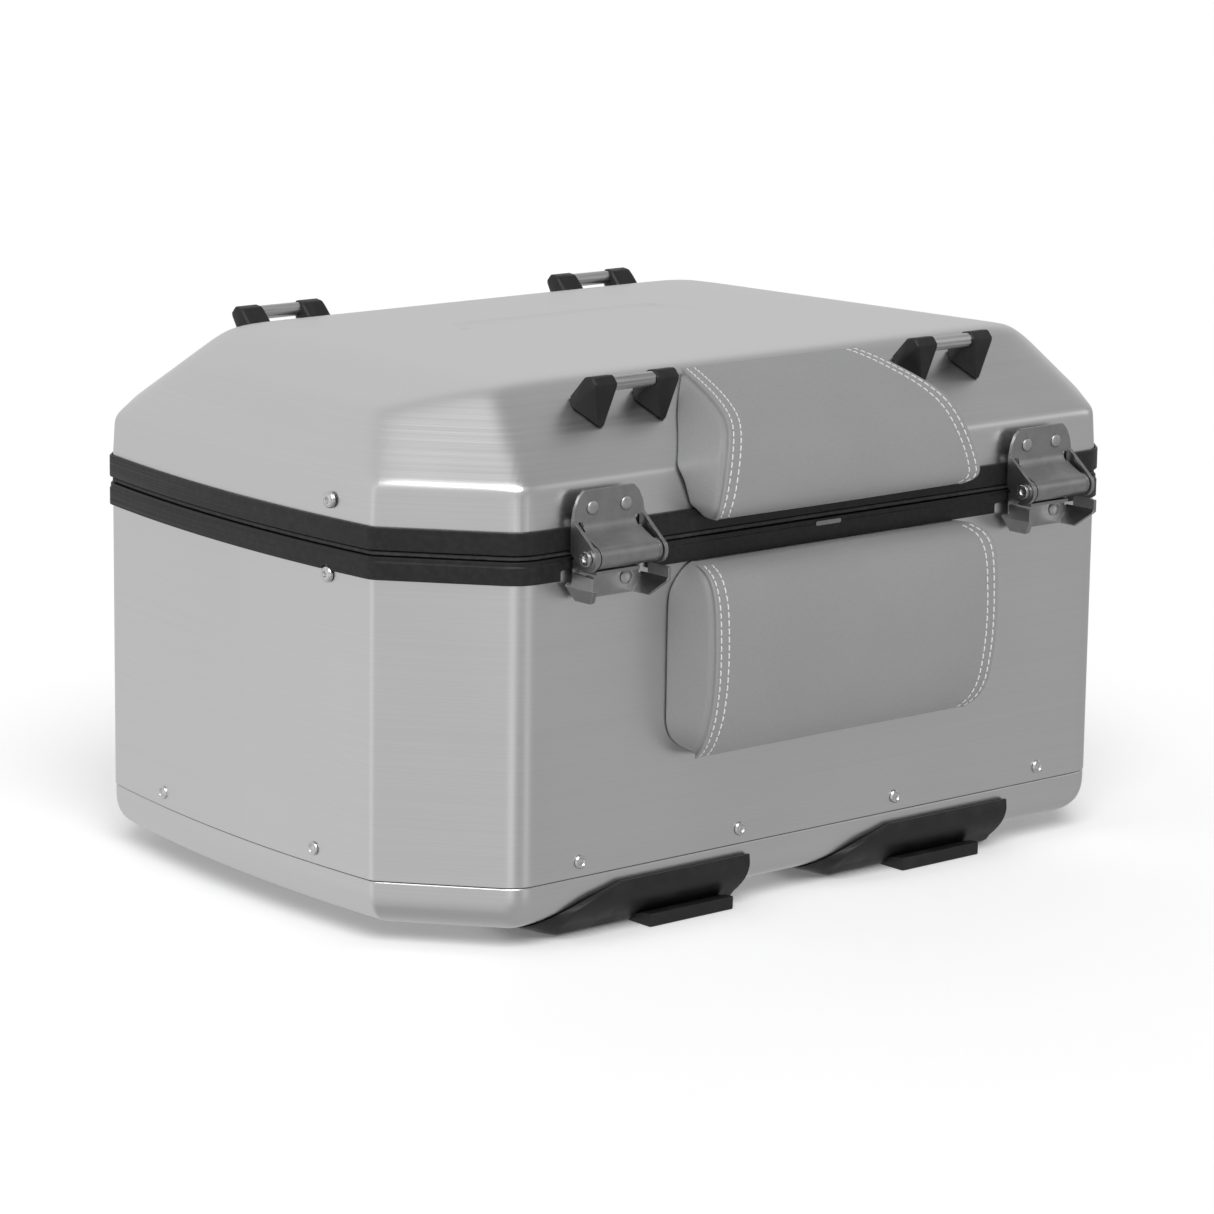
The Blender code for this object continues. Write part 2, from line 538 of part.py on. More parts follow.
def build():
    for obj in list(bpy.data.objects):
        bpy.data.objects.remove(obj)
    aluminium = material("brushed_aluminium", (0.62, 0.62, 0.62), 0.36, 1.0)
    anodised = material("black_anodised_frame", (0.025, 0.025, 0.027), 0.45)
    plastic = material("moulded_black_plastic", (0.02, 0.02, 0.021), 0.5)
    steel = material("satin_steel", (0.32, 0.32, 0.33), 0.38, 1.0)
    leather = material("grey_leather", (0.27, 0.27, 0.28), 0.6)
    rubber = material("seal_rubber", (0.03, 0.03, 0.03), 0.8)
    bright = material("bright_rivet", (0.75, 0.75, 0.76), 0.25, 1.0)

    # Tub
    add("tub_wall", wall_ring([(0.0, WALL_BOTTOM), (0.0, WALL_TOP), (-SHEET, WALL_TOP),
                               (-SHEET, WALL_BOTTOM)]), aluminium)
    outer = [(-SHEET - GAP, 54.0), (-SHEET - GAP, 37.7), (-0.4, 37.4), (-0.5, 30.0), (-1.6, 24.0),
             (-4.0, 19.0), (-8.5, 14.5), (-15.0, 11.0), (-24.0, FLOOR_UNDER)]
    inner = [(-4.0, 54.0), (-4.0, 35.5), (-2.8, 34.0), (-3.0, 30.0), (-4.0, 25.0), (-6.3, 20.5),
             (-10.4, 16.6), (-16.2, 13.4), (-24.5, FLOOR_TOP)]
    add("bottom_pan", dish(outer, inner), aluminium)
    low, high = TUB_BAND
    tub_band = wall_ring([(GAP, low), (BAND_PROUD, low), (BAND_PROUD, high - 1.0),
                          (BAND_PROUD - 1.0, high), (-6.0, high), (-6.0, low + 4.0),
                          (-SHEET - GAP, low + 4.0), (-SHEET - GAP, WALL_TOP + GAP),
                          (GAP, WALL_TOP + GAP)])
    cuts = [rod("X", SCREW_TUB, 5.6, -320.0, 320.0, 24)]
    for side in (-1, 1):
        width = sorted(side * x for x in NOTCH)
        cuts.append(box(width, (FRONT_Y - 9.0, FRONT_Y + 1.0), (low - 3.0, NOTCH_TOP)))
    add("tub_frame", combine([tub_band], cuts), anodised)
    add("lid_seal", wall_ring([(-4.8, high + 0.6), (BAND_PROUD - 0.8, high + 0.6),
                               (BAND_PROUD - 0.8, high + 3.1), (-4.8, high + 3.1)]), rubber)
    for x, side in ((-FOOT_X, "left"), (FOOT_X, "right")):
        add(f"foot_front_{side}", foot(x, False), plastic)
        add(f"foot_rear_{side}", foot(x, True), plastic)
    add("lower_backrest", lower_pad(), leather)

    # Fasteners of the tub
    for i, x in enumerate(FRONT_RIVETS, start=1):
        add(f"tub_rivet_front_{i}", rivet("Y", x, FRONT_Y, RIVET_Z, 4.0, 2.0, -1), bright)
    for out, side in ((-1, "left"), (1, "right")):
        for i, y in enumerate(SIDE_RIVETS, start=1):
            head = rivet("X", out * (side_x(y) + 0.5), y, RIVET_Z, 4.0, 2.0, out)
            add(f"tub_rivet_{side}_{i}", head, bright)
        x = out * (side_x(SCREW_TUB[0]) + 0.4)
        add(f"tub_screw_{side}", button_screw(x, *SCREW_TUB, 4.8, 2.6, out), bright)

    # Lock
    add("lock_housing", lock_housing(), plastic)
    lever_axis = pivot("lever_pivot", (0.0, *LEVER_PIVOT))
    add("latch_lever", latch_lever(), plastic, parent=lever_axis)
    face = REAR_Y + 9.0
    key_axis = pivot("key_pivot", (0.0, face, CYLINDER_Z))
    add("lock_cylinder", lock_cylinder(), steel, (0.0, face, CYLINDER_Z), key_axis)

    # Lid
    lid = pivot("lid_pivot", (0.0, PIVOT_Y, PIVOT_Z))
    add("lid_shell", lid_shell(), aluminium, parent=lid)
    low, high = LID_BAND
    slot = LID_BAND[0] + LID_EDGE
    add("lid_frame", wall_ring([(GAP, high), (BAND_PROUD, high), (BAND_PROUD, low + 1.0),
                                (BAND_PROUD - 1.0, low), (-6.0, low), (-6.0, high - 4.0),
                                (-SHEET - LID_SLACK, high - 4.0), (-SHEET - LID_SLACK, slot - GAP),
                                (GAP, slot - GAP)]), anodised, parent=lid)
    add("upper_backrest", upper_pad(), leather, parent=lid)
    add("lid_strike", lid_strike(), steel, parent=lid)
    for out, side in ((-1, "left"), (1, "right")):
        x = out * (side_x(SCREW_LID[0]) + 0.4)
        add(f"lid_screw_{side}", button_screw(x, *SCREW_LID, 4.8, 2.6, out), bright, parent=lid)
        tie_down_loop(f"front_{side}_loop", out, FRONT_Y, FLAT_FRONT[1], 28.0, LOOP_TOP_FRONT,
                      plastic, steel, lid)
        tie_down_loop(f"rear_{side}_loop", out, REAR_Y, FLAT_REAR[1], 40.7, LOOP_TOP_REAR,
                      plastic, steel, lid)

    # Hinges
    for out, side in ((-1, "left"), (1, "right")):
        at = (out * HINGE_X, 0.0, 0.0)
        add(f"hinge_upper_leaf_{side}", hinge_upper(), steel, at, lid)
        packer = box((-18.0, 18.0), (FRONT_Y - 4.6, FRONT_Y - 0.4), (241.0, 250.0))
        add(f"hinge_packer_{side}", packer, plastic, at, lid)
        add(f"hinge_lower_leaf_{side}", hinge_lower(), steel, at)
        add(f"hinge_pin_{side}", hinge_pin(), bright, at)
        for i, dx in enumerate((-12.4, 12.4), start=1):
            head = rivet("Y", dx, FRONT_Y - 5.0 - LEAF, 250.6, 4.0, 1.2, -1)
            add(f"hinge_rivet_upper_{side}_{i}", head, bright, at, lid)
            head = rivet("Y", dx * 1.12, FRONT_Y - 3.6 - LEAF, 208.4, 3.6, 1.2, -1)
            add(f"hinge_rivet_lower_{side}_{i}", head, bright, at)


build()
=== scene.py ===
"""Looks of an aluminium motorcycle top case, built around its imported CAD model.

Lengths are millimetres in the CAD model's frame (+Z up, hinges and backrest
on the -Y side) and become metres when a mesh is made.
"""
from math import atan2, cos, pi, radians, sin, tan

import bmesh
import bpy
import numpy as np
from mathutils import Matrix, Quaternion, Vector
from mathutils.bvhtree import BVHTree
from mathutils.geometry import delaunay_2d_cdt


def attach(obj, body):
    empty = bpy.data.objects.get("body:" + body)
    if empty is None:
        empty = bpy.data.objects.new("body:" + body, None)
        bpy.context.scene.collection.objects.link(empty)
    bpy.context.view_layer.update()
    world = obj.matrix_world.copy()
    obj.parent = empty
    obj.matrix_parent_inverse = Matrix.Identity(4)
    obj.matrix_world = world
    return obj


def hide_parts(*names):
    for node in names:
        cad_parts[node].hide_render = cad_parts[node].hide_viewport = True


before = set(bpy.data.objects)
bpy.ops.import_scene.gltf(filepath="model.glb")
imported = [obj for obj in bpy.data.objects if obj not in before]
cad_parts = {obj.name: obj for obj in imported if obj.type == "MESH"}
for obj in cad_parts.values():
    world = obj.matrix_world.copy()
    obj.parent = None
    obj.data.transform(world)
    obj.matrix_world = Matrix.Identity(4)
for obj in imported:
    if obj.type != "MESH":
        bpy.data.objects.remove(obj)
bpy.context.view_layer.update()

MM = 0.001
GAP = 0.3

# Camera
CAMERA_AZIMUTH = -41.05
CAMERA_ELEVATION = 11.73
CAMERA_ROLL = 0.77
CAMERA_DISTANCE = 2.8581
CAMERA_TARGET = (0.0056, 0.0082, 0.1366)
CAMERA_LENS = 137.28

# Plan of the walls: half widths, and Y of each corner
FRONT_Y = -190.0
REAR_Y = 210.0
FRONT_HALF = 228.4
FRONT_SHOULDER = (282.4, -124.2)
REAR_SHOULDER = (264.8, 149.9)
REAR_HALF = 205.0
SIDE_BOW = 8.7
SIDE_STEPS = 12
END_BEND = 10.0
SIDE_BEND = 2.7
BEND_STEPS = 10
SHEET = 1.6
BAND_PROUD = 2.0             # how far the black bands stand out from the walls

# Levels
WALL_BOTTOM = 38.0
WALL_TOP = 221.0
TUB_BAND = (210.4, 223.5)
LID_BAND = (227.2, 240.2)
LID_BOTTOM = 229.7
LID_SLACK = 1.0              # clearance inside the lid's wall in its band
LID_DRAFT = 0.06             # inward lean of the lid's walls above its band
CREASE_Z = 263.0
TOP_Z = 314.0

# Corners of the lid's top, as in the CAD model
FLAT_FRONT = (206.0, -133.0)
FLAT_REAR = (183.0, 139.0)
SHOULDER_FRONT = (256.0, -93.0)
SHOULDER_REAR = (230.0, 123.0)
SHOULDER_Z = 300.0
SIDE_CREST = (246.0, 16.0, SHOULDER_Z)   # third corner of the slopes beside the flat top

# Hinges, and the cut-outs of the tub's band behind them by |x|
HINGE_X = 172.3
NOTCH = (138.8, 203.0)
NOTCH_TOP = 216.5
LEAF_RIVET_X = 12.4
LEAF_RIVET_SPREAD = 1.12     # the lower leaf's rivets are this much further out

# Fasteners: X on the front and rear walls, Y on the sides
FRONT_RIVETS = (-184.7, -62.8, 62.8, 184.7)
REAR_RIVETS = (-160.0, -55.0, 55.0, 160.0)
SIDE_RIVETS = (-74.0, 84.5)
RIVET_Z = 46.8
SCREW_TUB = (-87.0, 207.8)
SCREW_LID = (-89.0, 250.2)
SCREW_HOLE_R = 5.6


# --- Node trees -----------------------------------------------------------

def node(tree, kind, inputs=None, **settings):
    """Adds a node; an input is a value, or the output socket to link from."""
    made = tree.nodes.new("ShaderNode" + kind)
    for key, value in settings.items():
        setattr(made, key, value)
    for key, value in (inputs or {}).items():
        if isinstance(value, bpy.types.NodeSocket):
            tree.links.new(value, made.inputs[key])
        else:
            made.inputs[key].default_value = value
    return made


def maths(tree, operation, a, b=0.0):
    """Output of one Math node."""
    return node(tree, "Math", {0: a, 1: b}, operation=operation).outputs[0]


def ramp(tree, value, low, high, out_low=0.0, out_high=1.0):
    """Value from low..high eased to out_low..out_high, and clamped."""
    inputs = {"Value": value, "From Min": low, "From Max": high,
              "To Min": out_low, "To Max": out_high}
    return node(tree, "MapRange", inputs, interpolation_type="SMOOTHSTEP").outputs[0]


def noise(tree, place, stretch, scale, detail=2.0, roughness=0.5):
    """Noise value; stretch scales each axis before the noise."""
    vector = node(tree, "VectorMath", {0: place, 1: stretch}, operation="MULTIPLY").outputs[0]
    inputs = {"Vector": vector, "Scale": scale, "Detail": detail, "Roughness": roughness}
    return node(tree, "TexNoise", inputs).outputs[0]


class Look:
    """A material: one Principled shader fed by short chains of nodes."""

    def __init__(self, name, colour, roughness, metallic=0.0, **fixed):
        self.mat = bpy.data.materials.new(name)
        self.mat.use_nodes = True
        self.tree = self.mat.node_tree
        self.shader = self.tree.nodes["Principled BSDF"]
        coordinates = node(self.tree, "TexCoord")
        self.place = coordinates.outputs["Object"]
        self.normal = coordinates.outputs["Normal"]
        self.colour = colour
        self.shader.inputs["Base Color"].default_value = (*colour, 1.0)
        self.shader.inputs["Roughness"].default_value = roughness
        self.shader.inputs["Metallic"].default_value = metallic
        for key, value in fixed.items():
            self.shader.inputs[key.replace("_", " ")].default_value = value

    def noise(self, stretch, scale, detail=2.0, roughness=0.5):
        return noise(self.tree, self.place, stretch, scale, detail, roughness)

    def ramp(self, value, *limits):
        return ramp(self.tree, value, *limits)

    def maths(self, operation, a, b=0.0):
        return maths(self.tree, operation, a, b)

    def mix(self, factor, a, b):
        return node(self.tree, "Mix", {0: factor, 2: a, 3: b}).outputs[0]

    def tint(self, value):
        """Base colour times a value."""
        colour = node(self.tree, "VectorMath", {0: self.colour, "Scale": value}, operation="SCALE")
        self.tree.links.new(colour.outputs[0], self.shader.inputs["Base Color"])

    def rough(self, value):
        self.tree.links.new(value, self.shader.inputs["Roughness"])

    def bump(self, *layers):
        """Each layer is a height value and its depth in millimetres."""
        last = None
        for height, depth in layers:
            inputs = {"Height": height, "Strength": 1.0, "Distance": depth * MM}
            if last is not None:
                inputs["Normal"] = last
            last = node(self.tree, "Bump", inputs).outputs[0]
        self.tree.links.new(last, self.shader.inputs["Normal"])


def brushed_aluminium():
    """Satin sheet: fine brushing round the walls, and along X on the lid's top."""
    look = Look("brushed_aluminium", (0.76, 0.76, 0.765), 0.4, 1.0)
    across = node(look.tree, "SeparateXYZ", {0: look.normal}).outputs[2]
    flat = look.ramp(look.maths("ABSOLUTE", across), 0.82, 0.92)
    lines = look.mix(flat, look.noise((3, 3, 2200), 1.0, 3.0, 0.6),
                     look.noise((3, 2200, 3), 1.0, 3.0, 0.6))
    cloud = look.noise((1, 1, 1), 9.0, 2.0)
    look.tint(look.maths("ADD", look.ramp(lines, 0.3, 0.7, -0.02, 0.02),
                         look.ramp(cloud, 0.3, 0.7, 0.99, 1.005)))
    look.rough(look.maths("ADD", look.ramp(lines, 0.3, 0.7, 0.30, 0.35),
                          look.ramp(cloud, 0.3, 0.7, -0.02, 0.02)))
    look.bump((lines, 0.002))
    return look.mat


def black_anodised():
    """Extruded frame: satin black with faint drawing lines along it."""
    look = Look("black_anodised_frame", (0.014, 0.014, 0.015), 0.42, 0.0, Specular_IOR_Level=0.32)
    lines = look.noise((4, 4, 900), 1.0, 2.0)
    dust = look.noise((1, 1, 1), 260.0, 3.0)
    look.tint(look.ramp(dust, 0.35, 0.75, 0.85, 1.3))
    look.rough(look.ramp(lines, 0.3, 0.7, 0.34, 0.5))
    look.bump((dust, 0.01), (lines, 0.006))
    return look.mat


def moulded_plastic():
    """Black moulded plastic with a fine spark grain and slightly scuffed highs."""
    look = Look("moulded_black_plastic", (0.014, 0.014, 0.0148), 0.5, 0.0, Specular_IOR_Level=0.35)
    grain = look.noise((1, 1, 1), 1600.0, 2.0, 0.6)
    scuff = look.noise((1, 1, 1), 70.0, 4.0, 0.6)
    look.tint(look.ramp(scuff, 0.4, 0.75, 0.85, 1.5))
    look.rough(look.ramp(scuff, 0.35, 0.7, 0.42, 0.58))
    look.bump((grain, 0.03))
    return look.mat


def satin_steel():
    """Tumbled steel leaves: dull faces with a soft mottle."""
    look = Look("satin_steel", (0.37, 0.37, 0.375), 0.36, 1.0)
    mottle = look.noise((1, 1, 1), 120.0, 4.0, 0.6)
    grain = look.noise((1, 1, 1), 1500.0, 2.0)
    look.tint(look.ramp(mottle, 0.3, 0.7, 0.93, 1.07))
    look.rough(look.ramp(grain, 0.3, 0.7, 0.31, 0.42))
    look.bump((grain, 0.012))
    return look.mat


def painted_edge_highlight_steel():
    """Lighter steel for the bevels of the steel parts: a painted highlight along their edges."""
    look = Look("steel_edge_painted_highlight", (0.85, 0.85, 0.85), 0.3, 1.0)
    wear = look.noise((1, 1, 1), 400.0, 3.0)
    look.tint(look.ramp(wear, 0.3, 0.7, 0.8, 1.1))
    look.rough(look.ramp(wear, 0.3, 0.7, 0.24, 0.38))
    return look.mat


def turned_steel():
    """Rod of the tie-down loops, drawn along X."""
    look = Look("drawn_steel_rod", (0.62, 0.62, 0.62), 0.32, 1.0)
    lines = look.noise((12, 900, 900), 1.0, 3.0, 0.6)
    look.tint(look.ramp(lines, 0.3, 0.7, 0.72, 1.12))
    look.rough(look.ramp(lines, 0.3, 0.7, 0.26, 0.4))
    look.bump((lines, 0.01))
    return look.mat


def dull_rivet():
    """Heads pressed flat on the hinge leaves, a shade lighter than the leaves."""
    look = Look("hinge_rivet", (0.52, 0.52, 0.52), 0.42, 1.0)
    spots = look.noise((1, 1, 1), 500.0, 3.0)
    look.tint(look.ramp(spots, 0.3, 0.7, 0.92, 1.06))
    look.rough(look.ramp(spots, 0.3, 0.7, 0.36, 0.48))
    return look.mat


def bright_metal():
    """Plated fasteners, polished by handling, with duller spots here and there."""
    look = Look("bright_rivet", (0.78, 0.78, 0.79), 0.25, 1.0)
    spots = look.noise((1, 1, 1), 600.0, 3.0)
    look.tint(look.ramp(spots, 0.3, 0.7, 0.85, 1.05))
    look.rough(look.ramp(spots, 0.3, 0.7, 0.2, 0.34))
    return look.mat


def grey_leather():
    """Smooth grey leatherette: pebble grain with painted shade between the pebbles and lighter
    pebble tops, faint creases, slight colour drift.
    """
    look = Look("grey_leather", (0.262, 0.262, 0.266), 0.56, 0.0, Sheen_Weight=0.12,
                Sheen_Roughness=0.5)
    cells = node(look.tree, "TexVoronoi", {"Vector": look.place, "Scale": 760.0,
                                           "Randomness": 1.0}, feature="SMOOTH_F1").outputs[0]
    fine = look.noise((1, 1, 1), 1900.0, 2.0)
    drift = look.noise((1, 1, 1), 14.0, 2.0)
    # Painted shade: darker between the pebbles, where the bump is low, and lighter on their tops;
    # the drift is a slow random change of colour
    painted_grain_shade_and_drift = look.maths("ADD", look.ramp(cells, 0.1, 0.8, 0.015, -0.025),
                      look.ramp(drift, 0.3, 0.7, 0.98, 1.02))
    look.tint(painted_grain_shade_and_drift)
    look.rough(look.ramp(cells, 0.1, 0.8, 0.52, 0.62))
    look.bump((look.maths("MULTIPLY", cells, -1.0), 0.045), (fine, 0.015))
    return look.mat


def white_thread():
    """Twisted polyester thread."""
    look = Look("white_thread", (0.74, 0.74, 0.73), 0.6, 0.0, Sheen_Weight=0.2)
    twist = look.noise((1, 1, 1), 2600.0, 2.0)
    look.tint(look.ramp(twist, 0.3, 0.7, 0.82, 1.05))
    look.bump((twist, 0.06))
    return look.mat


def seal_rubber():
    """Extruded rubber seal, matt with a dusty bloom."""
    look = Look("seal_rubber", (0.035, 0.035, 0.035), 0.75)
    bloom = look.noise((1, 1, 1), 300.0, 3.0)
    look.tint(look.ramp(bloom, 0.35, 0.7, 0.8, 1.5))
    look.rough(look.ramp(bloom, 0.3, 0.7, 0.66, 0.85))
    look.bump((bloom, 0.03))
    return look.mat


ALUMINIUM = brushed_aluminium()
ANODISED = black_anodised()
PLASTIC = moulded_plastic()
STEEL = satin_steel()
# Lighter steel for the bevels, which paints a highlight along the edges of the steel parts
EDGE_HIGHLIGHT = painted_edge_highlight_steel()
ROD = turned_steel()
RIVET = dull_rivet()
BRIGHT = bright_metal()
LEATHER = grey_leather()
THREAD = white_thread()
RUBBER = seal_rubber()


# --- Pieces ---------------------------------------------------------------

SHARP_ANGLE = 35.0           # edges sharper than this keep a hard shading edge
LATHE_STEPS = 24


def piece(name, bm, mats, body, replaces=(), smooth=SHARP_ANGLE, scale=MM):
    """Object from a bmesh that rides on a body and may stand for CAD nodes."""
    bmesh.ops.scale(bm, vec=(scale, scale, scale), verts=bm.verts)
    bmesh.ops.recalc_face_normals(bm, faces=bm.faces)
    mesh = bpy.data.meshes.new(name)
    bm.to_mesh(mesh)
    bm.free()
    for mat in mats:
        mesh.materials.append(mat)
    mesh.shade_smooth()
    mesh.set_sharp_from_angle(angle=radians(smooth))
    obj = bpy.data.objects.new(name, mesh)
    bpy.context.scene.collection.objects.link(obj)
    weighted = obj.modifiers.new("Flat faces", "WEIGHTED_NORMAL")
    weighted.keep_sharp = True
    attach(obj, body)
    if replaces:
        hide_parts(*replaces)
    return obj


def loft(rings, closed=False, capped=True):
    """Skin over rings of equal length; the ends are capped unless closed."""
    bm = bmesh.new()
    levels = [[bm.verts.new(p) for p in ring] for ring in rings]
    count = len(levels[0])
    pairs = list(zip(levels, levels[1:]))
    if closed:
        pairs.append((levels[-1], levels[0]))
    for low, high in pairs:
        for i in range(count):
            j = (i + 1) % count
            bm.faces.new((low[i], low[j], high[j], high[i]))
    if capped and not closed:
        for ring in (levels[0], levels[-1]):
            bm.faces.new(ring)
    return bm


def rounded(points, radius, steps=3):
    """Closed outline with each corner turned into a short curve."""
    made = []
    count = len(points)
    for i, corner in enumerate(points):
        corner = Vector(corner)
        sides = [Vector(points[(i + k) % count]) - corner for k in (-1, 1)]
        start, end = [corner + s.normalized() * min(radius, s.length * 0.45) for s in sides]
        for k in range(steps + 1):
            t = k / steps
            made.append(tuple(start * (1 - t) ** 2 + corner * 2 * t * (1 - t) + end * t ** 2))
    return made


def respaced(points, count):
    """Points spread evenly along a smooth curve through the given ones."""
    p = np.array([points[0], *points, points[-1]], float)
    dense = []
    for a, b, c, d in zip(p, p[1:], p[2:], p[3:]):
        for t in np.linspace(0.0, 1.0, 12, endpoint=False):
            bend = (2 * a - 5 * b + 4 * c - d) * t ** 2 + (3 * b - a - 3 * c + d) * t ** 3
            dense.append((2 * b + (c - a) * t + bend) / 2)
    dense = np.array([*dense, p[-1]])
    along = np.append(0.0, np.cumsum(np.linalg.norm(np.diff(dense, axis=0), axis=1)))
    even = np.linspace(0.0, along[-1], count)
    return np.column_stack([np.interp(even, along, dense[:, k]) for k in range(3)])


def side_x(y):
    """Half width of the bowed side wall at y."""
    (x0, y0), (x1, y1) = FRONT_SHOULDER, REAR_SHOULDER
    t = (y - y0) / (y1 - y0)
    return x0 + (x1 - x0) * t + 4 * SIDE_BOW * t * (1 - t)


def outline(offset):
    """Wall outline moved outward by offset, with its bends rounded."""
    sides = [FRONT_SHOULDER[1] + (REAR_SHOULDER[1] - FRONT_SHOULDER[1]) * i / SIDE_STEPS
             for i in range(SIDE_STEPS + 1)]
    right = [(FRONT_HALF, FRONT_Y), *[(side_x(y), y) for y in sides], (REAR_HALF, REAR_Y)]
    corners = [Vector(p) for p in right + [(-x, y) for x, y in reversed(right)]]
    points = []
    for i, corner in enumerate(corners):
        before = (corner - corners[i - 1]).normalized()
        after = (corners[(i + 1) % len(corners)] - corner).normalized()
        turn = before.angle(after)
        outward = Vector((before.y + after.y, -before.x - after.x)).normalized()
        tip = corner + outward * offset / cos(turn / 2)
        if turn < radians(15):
            points.append(tuple(tip))
            continue
        bend = END_BEND if corner.y in (FRONT_Y, REAR_Y) else SIDE_BEND
        tangent = max(0.4, bend + offset * tan(turn / 2))
        radius = tangent / tan(turn / 2)
        centre = tip - outward * radius / cos(turn / 2)
        first = atan2(-before.x, before.y)
        for k in range(BEND_STEPS + 1):
            angle = first + turn * k / BEND_STEPS
            points.append((centre.x + radius * cos(angle), centre.y + radius * sin(angle)))
    return points


def wall_ring(profile):
    """Closed ring round the walls from a section of (outward offset, z)."""
    return loft([[(x, y, z) for x, y in outline(offset)] for offset, z in profile], closed=True)


def lathe(profile, axis, at, out, hexagon=()):
    """Solid of revolution: (radius, height) pairs along an axis, X or Y.

    The rings whose numbers are in hexagon are six-sided.
    """
    rings = []
    for n, (radius, height) in enumerate(profile):
        ring = []
        for i in range(LATHE_STEPS):
            angle = 2 * pi * i / LATHE_STEPS
            reach = radius
            if n in hexagon:
                reach /= cos((angle + pi / 6) % (pi / 3) - pi / 6)
            a, b = reach * cos(angle), reach * sin(angle)
            x, y, z = at
            if axis == "X":
                ring.append((x + out * height, y + a, z + b))
            else:
                ring.append((x + a, y + out * height, z + b))
        rings.append(ring)
    return loft(rings)


def refine(name, mats, body, width, segments):
    """Copy of a CAD node with every sharp edge turned into a small bevel.

    With two materials, the second one is for the bevels.
    """
    bm = bmesh.new()
    bm.from_mesh(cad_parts[name].data)
    bmesh.ops.remove_doubles(bm, verts=bm.verts, dist=1e-6)
    bmesh.ops.dissolve_limit(bm, angle_limit=radians(0.5), verts=bm.verts, edges=bm.edges)
    for face in bm.faces:
        face.material_index = 0
    sharp = [e for e in bm.edges if len(e.link_faces) == 2 and e.calc_face_angle() > radians(28)]
    bmesh.ops.bevel(bm, geom=sharp, offset=width * MM, offset_type="OFFSET", segments=segments,
                    profile=0.5, affect="EDGES", clamp_overlap=True,
                    material=len(mats) - 1 if len(mats) > 1 else -1)
    return piece(f"{name}_detail", bm, mats, body, [name], scale=1.0)


def apply_modifiers(obj):
    """Turns an object's modifiers into its mesh."""
    graph = bpy.context.evaluated_depsgraph_get()
    mesh = bpy.data.meshes.new_from_object(obj.evaluated_get(graph))
    obj.modifiers.clear()
    obj.data = mesh


def cut(obj, cutters):
    """Takes the cutters, given as meshes in millimetres, out of a piece."""
    for bm in cutters:
        bmesh.ops.scale(bm, vec=(MM, MM, MM), verts=bm.verts)
        bmesh.ops.recalc_face_normals(bm, faces=bm.faces)
        mesh = bpy.data.meshes.new("cutter")
        bm.to_mesh(mesh)
        bm.free()
        tool = bpy.data.objects.new("cutter", mesh)
        bpy.context.scene.collection.objects.link(tool)
        made = obj.modifiers.new("Cut", "BOOLEAN")
        made.operation = "DIFFERENCE"
        made.object = tool
        apply_modifiers(obj)
        bpy.data.objects.remove(tool)
    obj.data.set_sharp_from_angle(angle=radians(SHARP_ANGLE))


# --- Tub ------------------------------------------------------------------

def tub():
    """Wall, pan, black band with its cut-outs and joint, seal and the four feet."""
    section = rounded([(0.0, WALL_BOTTOM), (0.0, WALL_TOP), (-SHEET, WALL_TOP),
                       (-SHEET, WALL_BOTTOM)], 0.5, 2)
    piece("tub_wall_sheet", wall_ring(section), [ALUMINIUM], "case", ["tub_wall"])
    outer = [(-1.9, 54.0), (-1.9, 37.7), (-0.9, 37.4), (-0.45, 36.8), (-0.4, 34.0), (-0.5, 30.0),
             (-0.85, 27.0), (-1.6, 24.0), (-2.6, 21.5), (-4.0, 19.0), (-6.0, 16.7), (-8.5, 14.5),
             (-11.5, 12.6), (-15.0, 11.0), (-19.3, 9.7), (-24.0, 9.0)]
    inner = [(-4.0, 54.0), (-4.0, 35.5), (-2.8, 34.0), (-3.0, 30.0), (-4.0, 25.0), (-6.3, 20.5),
             (-10.4, 16.6), (-16.2, 13.4), (-24.5, 11.5)]
    rings = [[(x, y, z) for x, y in outline(offset)] for offset, z in outer[::-1] + inner]
    piece("bottom_pan_pressing", loft(rings), [ALUMINIUM], "case", ["bottom_pan"])
    low, high = TUB_BAND
    band = rounded([(GAP, low), (BAND_PROUD, low), (BAND_PROUD, high - 3.0), (1.35, high - 2.6),
                    (1.35, high), (-6.0, high), (-6.0, low + 4.0), (-SHEET - GAP, low + 4.0),
                    (-SHEET - GAP, WALL_TOP + GAP), (GAP, WALL_TOP + GAP)], 0.5)
    frame_ring = piece("tub_frame_extrusion", wall_ring(band), [ANODISED], "case", ["tub_frame"])
    y, z = SCREW_TUB
    holes = [[(x, y + SCREW_HOLE_R * cos(a), z + SCREW_HOLE_R * sin(a))
              for a in (2 * pi * k / 32 for k in range(32))] for x in (-320.0, 320.0)]
    notches = [loft(holes)]
    for side in (-1, 1):
        x0, x1 = sorted(side * x for x in NOTCH)
        shape = rounded([(x0, low - 3.0), (x1, low - 3.0), (x1, NOTCH_TOP), (x0, NOTCH_TOP)], 1.5)
        notches.append(loft([[(a, y, b) for a, b in shape]
                             for y in (FRONT_Y - 9.0, FRONT_Y + 1.0)]))
    cut(frame_ring, notches)
    tab = rounded([(-9.0, 219.6), (11.0, 219.6), (11.0, 222.2), (-9.0, 222.2)], 1.2)
    rings = [[(x, y, z) for x, z in tab] for y in (FRONT_Y - 1.0, FRONT_Y - 2.2)]
    piece("tub_frame_joint", loft(rings), [STEEL], "case")
    seal = rounded([(-4.8, high + 0.6), (0.2, high + 0.6), (0.2, high + 3.1), (-4.8, high + 3.1)],
                   0.9)
    piece("lid_seal_strip", wall_ring(seal), [RUBBER], "case", ["lid_seal"])
    for x, side in ((-FOOT_X, "left"), (FOOT_X, "right")):
        for place in ("front", "rear"):
            foot(f"foot_{place}_{side}", x, place == "rear")


FOOT_X = 106.5
FOOT_LIP_HALF = 49.5
HOOK_SPAN = (69.0, 133.0)    # inner and outer |x| of the hook under a foot
